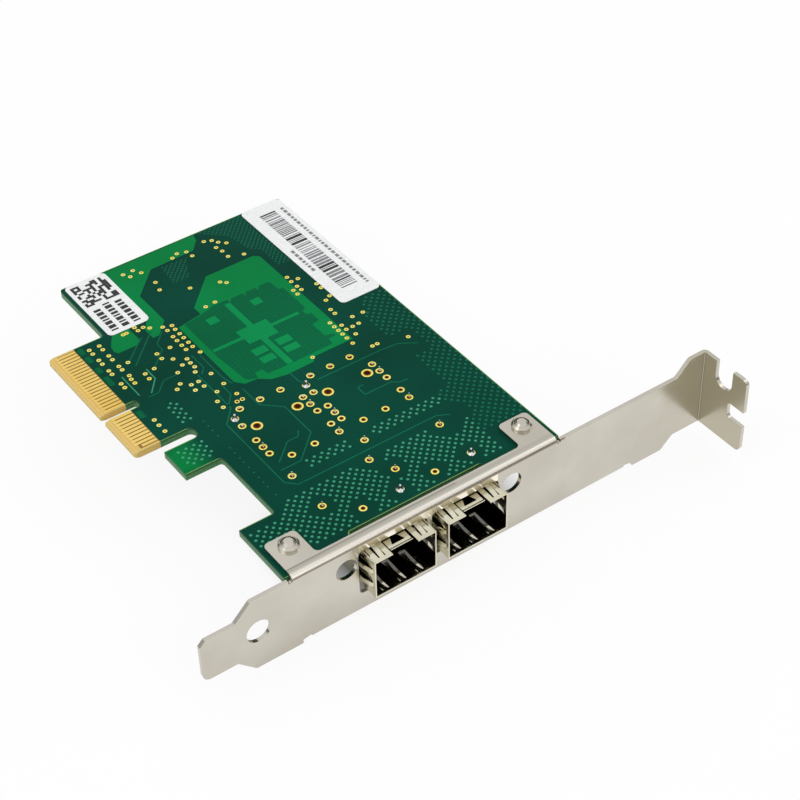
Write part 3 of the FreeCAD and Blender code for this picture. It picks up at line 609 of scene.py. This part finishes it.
framed = ("flash_memory", "eeprom", "voltage_regulators", "power_inductors", "bulk_capacitors",
          "crystal_base", "port_filter_inductors", "heatsink")
frames = [box for name in framed for box in plan_boxes(name)]
legend = [bar for box in frames for bar in frame_lines(box)]
place_plates("board_legend", legend, under_mm - 2 * layer_step, under_mm + 0.01, legend_ink)
power = [box for name in ("voltage_regulators", "power_inductors") for box in plan_boxes(name)]
areas = [rect(x0 - 1.1, x1 + 1.1, y0 - 1.1, y1 + 1.1) for x0, x1, y0, y1 in power]
place_plates("power_copper", areas, under_mm - layer_step, under_mm + 0.02, pour_green)
print("framed parts:", len(frames), "power areas:", len(areas))

# %% [markdown]
# ## Geometry Nodes as a small workshop
# Vias, plated holes and copper dots repeat by the hundred. Each kind is one node
# tree with named sizes. A plain mesh of points goes in, one finished mesh comes
# out, and the modifier is thrown away. The helpers below open such a tree and
# run it on a list of places in millimetres.

# %% Open and run a Geometry Nodes tree
def open_tool(name, **inputs):
    """A node tree with a Geometry input and named inputs, listed by socket type."""
    tree = bpy.data.node_groups.new(name, "GeometryNodeTree")
    tree.interface.new_socket("Geometry", in_out="OUTPUT", socket_type="NodeSocketGeometry")
    for kind, labels in {"Geometry": ["Geometry"], **inputs}.items():
        for label in labels:
            tree.interface.new_socket(label, in_out="INPUT", socket_type="NodeSocket" + kind)
    return tree, add(tree, "NodeGroupInput").outputs


def step(tree, kind, inputs=None, **settings):
    """Adds a Geometry Nodes node and gives its first output."""
    return add(tree, "GeometryNode" + kind, inputs, **settings).outputs[0]


def close_tool(tree, geometry, material=None):
    """Ends a tree in Realize Instances and Set Material."""
    real = step(tree, "RealizeInstances", {"Geometry": geometry})
    if material is not None:
        real = step(tree, "SetMaterial", {"Geometry": real, "Material": material})
    add(tree, "NodeGroupOutput", {0: real})
    return tree


def run_tool(name, tree, places, values, edges=()):
    """Feeds places (mm) through a tree and keeps the result as a plain mesh piece."""
    source = bpy.data.meshes.new(name)
    source.from_pydata([Vector(p) * MM for p in places], list(edges), [])
    worker = new_object(name, source)
    modifier = worker.modifiers.new(name, "NODES")
    modifier.node_group = tree
    for item in tree.interface.items_tree:
        if item.in_out == "INPUT" and item.name in values:
            modifier[item.identifier] = values[item.name]
    ready = worker.evaluated_get(bpy.context.evaluated_depsgraph_get())
    mesh = bpy.data.meshes.new_from_object(ready)
    bpy.data.objects.remove(worker)
    place_piece(name, mesh, None)
    print(name, "triangles:", sum(len(f.vertices) - 2 for f in mesh.polygons))


# %% [markdown]
# ## Plated holes and vias
# A plated hole is a ring of gold with a slightly domed edge around a bore. A
# flattened circle swept along a circle gives the wide, low section of real
# plating. Inside the ring lie two flat discs with painted shade: a darker gold
# stands for the wall of the bore in its shade, and a dark brown middle is the
# mask over a tented via, and painted shade in the bores of pins, pegs and open
# holes.

# %% The plated-hole tool
def plated_hole_tool():
    tree, sizes = open_tool("plated_hole", Float=["Ring radius", "Hole radius", "Ring rise", "Hole level"],
                            Material=["Ring metal", "Wall metal", "Hole fill"])
    both = calc(tree, "ADD", sizes["Ring radius"], sizes["Hole radius"])
    width = calc(tree, "SUBTRACT", sizes["Ring radius"], sizes["Hole radius"])
    path = step(tree, "CurvePrimitiveCircle", {"Resolution": 20, "Radius": times(tree, both, 0.5)})
    section = step(tree, "CurvePrimitiveCircle", {"Resolution": 8, "Radius": 1.0})
    scale = add(tree, "ShaderNodeCombineXYZ", {
        "X": times(tree, width, 0.5), "Y": sizes["Ring rise"], "Z": 1.0}).outputs[0]
    section = step(tree, "Transform", {"Geometry": section, "Scale": scale})
    ring = step(tree, "CurveToMesh", {"Curve": path, "Profile Curve": section})
    ring = step(tree, "SetShadeSmooth", {"Geometry": ring})
    ring = step(tree, "SetMaterial", {"Geometry": ring, "Material": sizes["Ring metal"]})
    joint = add(tree, "GeometryNodeJoinGeometry")
    tree.links.new(ring, joint.inputs[0])
    # Painted shade: a darker gold disc for the bore wall and a dark brown disc for the middle.
    for share, drop, finish in ((1.04, 0.6, "Wall metal"), (0.78, 1.0, "Hole fill")):
        disc = step(tree, "MeshCircle", {
            "Vertices": 20, "Radius": times(tree, sizes["Hole radius"], share)},
            fill_type="NGON")
        level = add(tree, "ShaderNodeCombineXYZ", {
            "Z": times(tree, sizes["Hole level"], drop)}).outputs[0]
        disc = step(tree, "Transform", {"Geometry": disc, "Translation": level})
        disc = step(tree, "SetMaterial", {"Geometry": disc, "Material": sizes[finish]})
        tree.links.new(disc, joint.inputs[0])
    return close_tool(tree, step(tree, "InstanceOnPoints", {
        "Points": sizes["Geometry"], "Instance": joint.outputs[0]}))


plated_hole = plated_hole_tool()
print("plated-hole tool inputs:", len(plated_hole.interface.items_tree))

# %% [markdown]
# ## Where the holes are
# The cage pins and the pegs pass through real holes of the CAD board, so their
# rings take the cages' own places. The rest are listed one by one: vias gather
# where a signal changes side, around the card edge and the controller.

# %% Places of the holes
pin_column = 7.15
left_pins = [cage_front + v for v in (16.7, 26.9, 37.1, 44.65, 47.3)]
right_pins = [cage_front + v for v in (11.6, 21.75, 31.9, 42.05, 44.65)]
rear_wall_middle = cage_rear - 0.125
peg_y = cage_rear - 6.4

pin_holes, peg_holes, open_holes = [], [], []
for middle in cage_mid:
    pin_holes += [(middle - pin_column, y) for y in left_pins]
    pin_holes += [(middle + pin_column, y) for y in right_pins]
    pin_holes += [(middle + u, rear_wall_middle) for u in (-4.8, 0.0, 4.8)]
    peg_holes += [(middle + u, peg_y) for u in (-4.775, 4.775)]
    open_holes += [(middle + u, v) for u, v in (
        (-pin_column, -23.5), (-pin_column, -28.25), (pin_column, -23.5), (pin_column, -28.3),
        (-3.9, -31.15), (1.4, -31.15))]
open_holes += [(26.65, -51.45), (43.3, -51.5)]

near_contacts = [(x, y) for x in (8.27, 10.6) for y in (20.3, 18.8, 16.3, 14.8, 12.15, 10.8, 7.1, 5.65)]
near_contacts += [(12.7, 12.1), (10.85, 8.35), (13.7, 6.85), (16, 7.2), (13.6, 5.05), (8.05, -6.4),
                  (8, -8.3), (8.05, -10.5), (16.35, 20.5), (17.15, 20.5), (19.4, 21.1), (19.5, 19.8),
                  (20.9, 20.1), (21.9, 19.1)]
left_of_controller = [(x, y) for x in (24.3, 25.9) for y in (13.7, 12.1, 10.2, 8.5)]
left_of_controller += [(24.2, 17.7), (26, 17), (24.4, 16.15), (25.9, 15.5), (26.2, 6.05), (18.8, 10.9),
                       (18.85, 9), (22, 11.05), (20.6, 7.5), (22.9, 5.8), (21.15, 4.7), (22.8, 4.3),
                       (19.15, 3.2), (22.85, 2.7), (22.1, 1.25), (17.75, -0.1), (16.4, -1.2),
                       (19.4, -1.7), (21.1, -1.7), (19.2, -3.6), (21.25, -3.6), (24.4, -1.1),
                       (24.8, -5.3), (22.4, -6.6), (20.9, -9.2), (25.25, -9.5), (20.9, -11.4)]
right_of_controller = [(54.1, 16.2), (54, 14.4), (55.7, 14.4), (54.1, 12.3), (52.7, 11.6), (54.2, 10.8),
                       (52.7, 10), (57.9, 10.5), (57.9, 8.8), (57.75, 5.4), (56.3, 4.6), (55.3, 1.4),
                       (55.3, -0.2), (54.2, -4.3), (54.2, -6), (55.8, -6), (57.4, -5.9), (57.6, -3.3),
                       (60.2, -3.4), (54.9, -8.4), (55.4, -13.7), (56.6, -13.7), (63, -15.7),
                       (43.6, -9.3)]
right_of_controller += [(52.7, y) for y in (-2.2, -3.8, -5.3, -6.8, -8.4, -10.5)]
far_side = [(26.5, 38.35), (28.9, 38.35), (27.4, 36.8), (30, 36.6), (30.7, 31.8), (30.1, 29), (38, 37),
            (39.6, 37.8), (41.6, 37.1), (41.9, 35.1), (46.6, 38), (48.2, 37.3), (49, 35.9), (47.6, 34.5),
            (50.3, 34.6), (48, 32.6), (48, 30.2), (51.2, 28.8), (35.6, 25.6), (41.8, 23.5), (42.8, 22.5),
            (34.9, 18.1), (37.3, 18.3)]
vias = near_contacts + left_of_controller + right_of_controller + far_side
test_points = [(24, -11.6), (25.25, -11.6)]
print("vias:", len(vias), "pin holes:", len(pin_holes), "open holes:", len(open_holes))

# %% Drill and plate
def plate_holes(name, places, ring_mm, hole_mm, rise_mm, level_mm, under_side=False):
    """Rings on the top face, and on the underside where the bore comes out there."""
    sides = [(top_mm, "top")] + ([(under_mm, "under")] if under_side else [])
    for face_mm, side in sides:
        sign = 1 if side == "top" else -1
        run_tool(f"{name}_{side}", plated_hole, [(x, y, face_mm) for x, y in places], {
            "Ring radius": ring_mm * MM, "Hole radius": hole_mm * MM, "Ring rise": rise_mm * MM,
            "Hole level": sign * level_mm * MM, "Ring metal": ring_gold, "Wall metal": bore_wall_shade_gold,
            "Hole fill": bore_fill_and_shade})


plate_holes("vias", vias, 0.53, 0.13, 0.05, 0.045, True)
plate_holes("test_points", test_points, 0.55, 0.27, 0.05, 0.03)
plate_holes("pin_hole_rings", pin_holes, 0.88, 0.50, 0.06, 0.03)
plate_holes("peg_hole_rings", peg_holes, 1.27, 0.80, 0.07, 0.03)
plate_holes("open_plated_holes", open_holes, 0.86, 0.44, 0.06, 0.03, True)

# %% [markdown]
# ## Thieving dots
# A plating bath needs an even amount of copper everywhere, so empty corners are
# filled with small copper dots. All of them sit on one diamond lattice. The tool
# puts a dot on each place and leaves out those that come too near a hole.

# %% The dot-field tool
def dot_field_tool():
    tree, sizes = open_tool("dot_field", Float=["Dot radius", "Dot height", "Clearance"],
                            Object=["Keep clear of"], Material=["Dot finish"])
    holes = add(tree, "GeometryNodeObjectInfo", {"Object": sizes["Keep clear of"]}).outputs["Geometry"]
    near = add(tree, "GeometryNodeProximity", {0: holes}, target_element="POINTS").outputs["Distance"]
    taken = add(tree, "FunctionNodeCompare", {"A": near, "B": sizes["Clearance"]},
                operation="LESS_THAN").outputs[0]
    free = step(tree, "DeleteGeometry", {"Geometry": sizes["Geometry"], "Selection": taken},
                domain="POINT", mode="ALL")
    dot = step(tree, "MeshCylinder", {
        "Vertices": 8, "Radius": sizes["Dot radius"], "Depth": sizes["Dot height"]})
    dots = step(tree, "InstanceOnPoints", {"Points": free, "Instance": dot})
    return close_tool(tree, dots, sizes["Dot finish"])


def inside(outline, x, y):
    """True where a point lies in an outline."""
    crossed = False
    for (xa, ya), (xb, yb) in zip(outline, outline[1:] + outline[:1]):
        if (ya > y) != (yb > y) and x < xa + (xb - xa) * (y - ya) / (yb - ya):
            crossed = not crossed
    return crossed


def diamond_lattice(outlines, pitch=1.77, start=(20.2, -41.3)):
    """Places of the board-wide lattice that lie in one of the outlines."""
    places = []
    for step_y in range(-20, 60):
        y = start[1] + step_y * pitch / 2
        for step_x in range(-12, 30):
            x = start[0] + (step_x + 0.5 * (step_y % 2)) * pitch
            if any(inside(outline, x, y) for outline in outlines):
                places.append((x, y, top_mm))
    return places


dot_field = dot_field_tool()
clear_mesh = bpy.data.meshes.new("hole_centres")
clear_mesh.from_pydata([Vector((x, y, top_mm)) * MM for x, y in pin_holes + peg_holes + open_holes],
                       [], [])
hole_centres = new_object("hole_centres", clear_mesh)

clear_areas = [rect(6.4, 12.4, -22.4, -17.4), rect(11.6, 14.4, -10.6, -4),
               [(5.6, -49), (5.6, -44.2), (13.6, -44.2), (16.4, -40.8), (49.4, -40.8),
                (49.4, -43.6), (53.4, -45.8), (55, -44.6), (58, -41.6), (58, -54.4),
                (13.6, -54.4), (13.6, -49)],
               rect(24.8, 35.4, -36.6, -33.6), rect(39.8, 57, -36.6, -33.6)]
right_margin = [[(60.2, -21.6), (68, -21.6), (68, -47.8), (58.2, -47.8), (58.2, -42.4),
                 (60.2, -40.2), (57, -37.4), (57, -34), (60.2, -32)],
                [(60, -13.4), (68, -13.4), (68, 1), (62.4, 1), (60, -5)],
                [(64.6, -13.4), (68, -13.4), (68, -21.6), (64.6, -21.6)]]
left_column = [(15.6, y, top_mm) for y in (-12.6, -14.4, -16, -17.9, -22.3, -24.1, -25.9, -27.4,
                                           -29.2, -31, -32.7, -34.3, -35.8, -38.6)]
for name, places, radius_mm, finish in (
        ("bright", diamond_lattice(clear_areas), 0.32, dot_green),
        ("faint", diamond_lattice(right_margin), 0.32, faint_green),
        ("column", left_column, 0.2, faint_green)):
    run_tool(f"thieving_dots_{name}", dot_field, places, {
        "Dot radius": radius_mm * MM, "Dot height": 0.03 * MM, "Clearance": 2.7 * MM,
        "Keep clear of": hole_centres, "Dot finish": finish})
bpy.data.objects.remove(hole_centres)

# %% [markdown]
# ## Traces
# A trace is a flat ribbon of copper under the mask. It follows its path with
# corners at 45 degrees. A path curve swept with a thin rectangle gives the raised,
# flat-topped ribbon, whatever its route.

# %% The trace tool
def trace_tool():
    tree, sizes = open_tool("trace", Float=["Width", "Thickness", "Corner radius"],
                            Material=["Trace finish"])
    path = step(tree, "MeshToCurve", {"Mesh": sizes["Geometry"]})
    path = step(tree, "SetCurveNormal", {"Curve": path}, mode="Z_UP")
    path = step(tree, "FilletCurve", {
        "Curve": path, "Radius": sizes["Corner radius"], "Limit Radius": True, "Count": 3}, mode="POLY")
    section = step(tree, "CurvePrimitiveQuadrilateral", {
        "Width": sizes["Width"], "Height": sizes["Thickness"]})
    ribbon = step(tree, "CurveToMesh", {"Curve": path, "Profile Curve": section, "Fill Caps": True})
    return close_tool(tree, ribbon, sizes["Trace finish"])


trace = trace_tool()
routes = [
    [(22, 0), (22, -12.5), (18.7, -16.2), (18.7, -36.8), (20.6, -38.8), (53, -38.8), (55.4, -40.2)],
    [(24.2, -6), (24.2, -9), (21.7, -12)],
    [(27, -9), (27, -15), (30.7, -18.6), (30.7, -28), (24.6, -33.6), (20, -33.6)],
    [(21, -31.5), (25.5, -27.5), (28, -27.5), (29, -26)],
    [(40.5, -15.7), (56, -15.8), (60, -16.2), (63.5, -18.6)],
    [(47, -22.5), (45.5, -22.5), (45.5, -25.2), (52, -25.2), (53, -26.2), (55, -26.5)],
    [(37.2, -10.6), (37.2, -13.6), (37.8, -15)],
    [(9.4, 8.8), (9.4, 1.7)],
    [(14.6, 8), (14.6, 4.4), (11.7, 0.9)],
    [(12.9, 12), (16.6, 15.4), (19, 17.4)],
    [(13.4, 10.2), (18, 14.6), (21.4, 17.8)],
    [(16.2, 7.4), (20.4, 11.4), (20.4, 13.6), (23.4, 16.6)],
    [(10.6, 0.2), (13, 0.2), (15.6, 2.8), (18.6, 2.8)],
    [(24.2, 6.2), (24.2, 1.4), (22.8, -0.2)],
    [(25.6, 5.2), (25.6, -3.6), (26.2, -6.4)],
]
shallow_routes = (7, 8)
for number, route in enumerate(routes):
    steps = [(k, k + 1) for k in range(len(route) - 1)]
    run_tool(f"trace_{number + 1:02d}", trace, [(x, y, top_mm) for x, y in route], {
        "Width": 0.30 * MM, "Thickness": 0.03 * MM, "Corner radius": 0.4 * MM,
        "Trace finish": dot_green if number in shallow_routes else trace_green},
        steps)
print("traces:", len(routes))

# %% [markdown]
# ## Solder on the cage pins
# Four cage pins were soldered by hand. Their solder climbed the pin in a steep,
# hollow cone, a little lumpy, and the other pins only carry a wetted tip. Both are
# outlines turned about the pin, pushed in and out by a seeded draw.

# %% Solder fillets and wetted pin tips
def place_solder(name, places, outline, sides, rough_mm, stretch=1.0, turn=0.0):
    """Outlines of (radius, height) in millimetres turned about each place, as one piece."""
    form = bmesh.new()
    draw = random.Random(5)
    for x, y in places:
        rings = []
        for radius, height in outline:
            ring = []
            for k in range(sides):
                angle = 2 * math.pi * k / sides
                reach = max(radius + draw.uniform(-rough_mm, rough_mm), 0.02)
                u, v = reach * stretch * math.cos(angle), reach * math.sin(angle)
                ring.append(form.verts.new(Vector((x + u * math.cos(turn) - v * math.sin(turn),
                                                   y + u * math.sin(turn) + v * math.cos(turn),
                                                   top_mm + height)) * MM))
            rings.append(ring)
        for low, high in zip(rings, rings[1:]):
            for k in range(sides):
                following = (k + 1) % sides
                form.faces.new((low[k], low[following], high[following], high[k]))
        form.faces.new(rings[0])
        form.faces.new(rings[-1])
    for face in form.faces:
        face.smooth = True
    place_piece(name, finished_mesh(name, form), solder)


soldered = [(middle - pin_column, left_pins[-1]) for middle in cage_mid]
soldered += [(middle + pin_column, right_pins[0]) for middle in cage_mid]
cone = [(0.94, -0.02), (0.60, 0.09), (0.37, 0.35), (0.27, 0.75), (0.29, 1.10), (0.12, 1.22)]
place_solder("solder_fillets", soldered, cone, 14, 0.11, 1.2, math.radians(65))
wetted = [place for place in pin_holes if place not in soldered and -50.0 < place[1] < -18.6]
spike = [(0.22, 0.02), (0.14, 0.16), (0.12, 0.70), (0.19, 0.98), (0.17, 1.12), (0.07, 1.2)]
place_solder("wetted_pin_tips", wetted, spike, 8, 0.01)
print("solder fillets:", len(soldered), "wetted tips:", len(wetted))

# %% [markdown]
# ## Labels
# Each label is a rounded slip of coated paper. Its print is only a pattern of
# plain blocks and bars that reads as nothing. The marks lie a hundredth of a
# millimetre above the paper, and a fixed seed keeps them the same in each run.

# %% Marks on the two labels
def block_pattern(x0, y0, cell, count, seed):
    """A square of filled and empty cells, chosen by a seeded draw."""
    draw = random.Random(seed)
    cells = []
    for i in range(count):
        for j in range(count):
            if draw.random() < 0.5:
                x, y = x0 + i * cell, y0 + j * cell
                cells.append(rect(x, x + cell * 0.98, y, y + cell * 0.98))
    return cells


def dash_row(draw, x, width, start, stop):
    """Dashes of three lengths, one after another along Y."""
    row, y = [], start
    while y < stop:
        length = draw.choice((0.5, 0.8, 1.1))
        row.append(rect(x, x + width, y, y + length))
        y += length + 0.4
    return row


def print_marks(name, outlines, toner):
    place_plates(name, outlines, paper_mm - 0.01, paper_mm + 0.01, toner)


serial_low, serial_high = box_mm("serial_sticker")
bar_low, bar_high = box_mm("barcode_sticker")
paper_mm = serial_high.z
pattern_start = serial_high.y - 9.0
marks = block_pattern(serial_low.x + 0.9, pattern_start, 0.66, 12, 7)
print_marks("serial_label_blocks", marks, toner_black)

draw = random.Random(3)
dashes = []
for row in range(3):
    dashes += dash_row(draw, serial_low.x + 1.3 + row * 2.6, 1.6, serial_low.y + 1.2, serial_low.y + 10.0)
clear_of_pattern = [dash for dash in dashes if dash[2][1] < pattern_start - 0.5]
print_marks("serial_label_dashes", clear_of_pattern, toner_black)

bars, pale_marks = [], []
y = bar_low.y + 4.4
while y < bar_high.y - 3.6:
    thickness = draw.choice((0.28, 0.28, 0.5, 0.8))
    draw.choice((bars, pale_marks, pale_marks)).append(
        rect(bar_low.x + 2.9, bar_low.x + 6.9, y, y + thickness))
    y += thickness + draw.choice((0.25, 0.25, 0.5))
print_marks("bar_label_bars", bars, toner_black)
for x, start, stop in ((bar_low.x + 1.3, 13.0, 22.0), (bar_low.x + 8.3, 3.0, 36.5)):
    pale_marks += dash_row(draw, x, 0.75, bar_low.y + start, bar_low.y + stop)
print_marks("bar_label_lines", pale_marks, toner_grey)
print("label blocks:", len(marks), "bars:", len(bars), "pale marks:", len(pale_marks))

# %% [markdown]
# ## Floor, light and camera
# The card lies on a plain pale floor that reads as white paper to the camera and
# in reflections, and stays in shade beneath the card. Behind the ports a painted
# shadow also darkens the paper's own colour. Three soft lamps and a world that is
# dark below the horizon and white above it light the card as a product tent
# would. The lens is long, so the card's lines stay nearly parallel.

# %% Floor
def floor_material():
    """White to the camera and in gloss, but shaded behind the ports and under the card, with a painted
    shadow in the paper behind the ports.
    """
    material, tree, place = start_material("white_studio_paper")
    glow = add(tree, "ShaderNodeEmission", {"Color": colour("FFFFFF"), "Strength": 1.0})
    path = add(tree, "ShaderNodeLightPath").outputs
    along_y = split(tree, place)["Y"]
    fade = rise(tree, along_y, -22 * MM, -44 * MM, interpolation_type="SMOOTHSTEP")
    behind_bracket = calc(tree, "GREATER_THAN", along_y, -57 * MM)
    shadow_behind_ports = times(tree, box_mask(tree, place, (18,), (63,), 7.0, "X"),
                         times(tree, fade, behind_bracket))
    tone = ramp(tree, noise(tree, place, 60), [(0.4, "F4F4F4"), (0.6, "F8F8F8")])
    # Painted shadow: the paper itself is grey behind the ports.
    tone = mix(tree, shadow_behind_ports, tone, colour("8A8A86"))
    paper = add(tree, "ShaderNodeBsdfDiffuse", {"Color": tone})
    below_card = box_mask(tree, place, (0, -57), (66, 38), 8, "XY")
    seen = times(tree, path["Is Camera Ray"], spread(tree, shadow_behind_ports, 0.9, 0.1))
    gloss = times(tree, path["Is Glossy Ray"], spread(tree, below_card, 0.95, 0.0))
    both = add(tree, "ShaderNodeMixShader", {
        0: calc(tree, "MAXIMUM", seen, gloss), 1: paper.outputs[0], 2: glow.outputs[0]})
    finish_material(tree, both)
    return material


floor_level = cad_box[0][2]
reach = 3.0
floor_mesh = bpy.data.meshes.new("studio_floor")
floor_mesh.from_pydata([(x, y, floor_level) for x, y in rect(-reach, reach, -reach, reach)],
                       [], [(0, 1, 2, 3)])
floor_mesh.materials.append(floor_material())
floor = new_object("studio_floor", floor_mesh)
print("floor at", round(floor_level / MM, 2), "mm")

# %% World and lamps
def lamp(name, place, aim, size, power):
    """A white square lamp that faces a point."""
    data = bpy.data.lights.new(name, "AREA")
    data.shape = "SQUARE"
    data.size = size
    data.energy = power
    source = new_object(name, data)
    source.location = place
    source.rotation_euler = (aim - Vector(place)).to_track_quat("-Z", "Y").to_euler()


world = bpy.data.worlds.new("studio")
world.use_nodes = True
sky = world.node_tree
sky.nodes.clear()
height = split(sky, add(sky, "ShaderNodeTexCoord").outputs["Generated"])["Z"]
dome = ramp(sky, spread(sky, height, 0.5, 1.0), [
    (0.50, "343434"), (0.60, "4A4A4A"), (0.67, "EEEEEE"), (1.0, "FFFFFF")])
path = add(sky, "ShaderNodeLightPath").outputs
ambient = add(sky, "ShaderNodeBackground", {"Color": dome, "Strength": 0.96})
backdrop = add(sky, "ShaderNodeBackground", {"Color": colour("FFFFFF"), "Strength": 1.0})
both = add(sky, "ShaderNodeMixShader", {
    0: path["Is Camera Ray"], 1: ambient.outputs[0], 2: backdrop.outputs[0]})
add(sky, "ShaderNodeOutputWorld", {"Surface": both.outputs[0]})
bpy.context.scene.world = world

middle = Vector((0.035, -0.015, 0.0))
lamp("key_softbox", (-0.45, 0.05, 0.70), middle, 0.5, 1.05)
lamp("side_softbox", (0.65, -0.10, 0.60), middle, 0.4, 0.45)
lamp("front_card", (0.10, -0.80, 0.20), middle, 0.5, 0.8)
print("lamps: 3")

# %% Camera
azimuth, elevation, roll = (math.radians(a) for a in (-34.750, 41.161, -1.566))
backward = Vector((math.sin(azimuth) * math.cos(elevation),
                   -math.cos(azimuth) * math.cos(elevation), math.sin(elevation)))
level_right = Vector((0, 0, 1)).cross(backward).normalized()
level_up = backward.cross(level_right)
right = math.cos(roll) * level_right + math.sin(roll) * level_up
upward = -math.sin(roll) * level_right + math.cos(roll) * level_up
turn = Matrix((right, upward, backward)).transposed().to_4x4()

camera_data = bpy.data.cameras.new("camera")
camera_data.sensor_width = 36.0
camera_data.lens = 87.90
camera_data.clip_start = 0.01
camera = new_object("camera", camera_data)
camera.matrix_world = Matrix.Translation(Vector((-116.016, -270.157, 255.511)) * MM) @ turn
bpy.context.scene.camera = camera
bpy.context.scene.view_settings.view_transform = "Standard"
print("camera distance:", round((camera.location - middle).length / MM), "mm")

# %% [markdown]
# ## The CAD box
# The dressed card must stay inside the CAD model's box, which is printed here.

# %% Print the CAD box
print("CAD box:", [round(c / MM, 2) for corner in cad_box for c in corner])
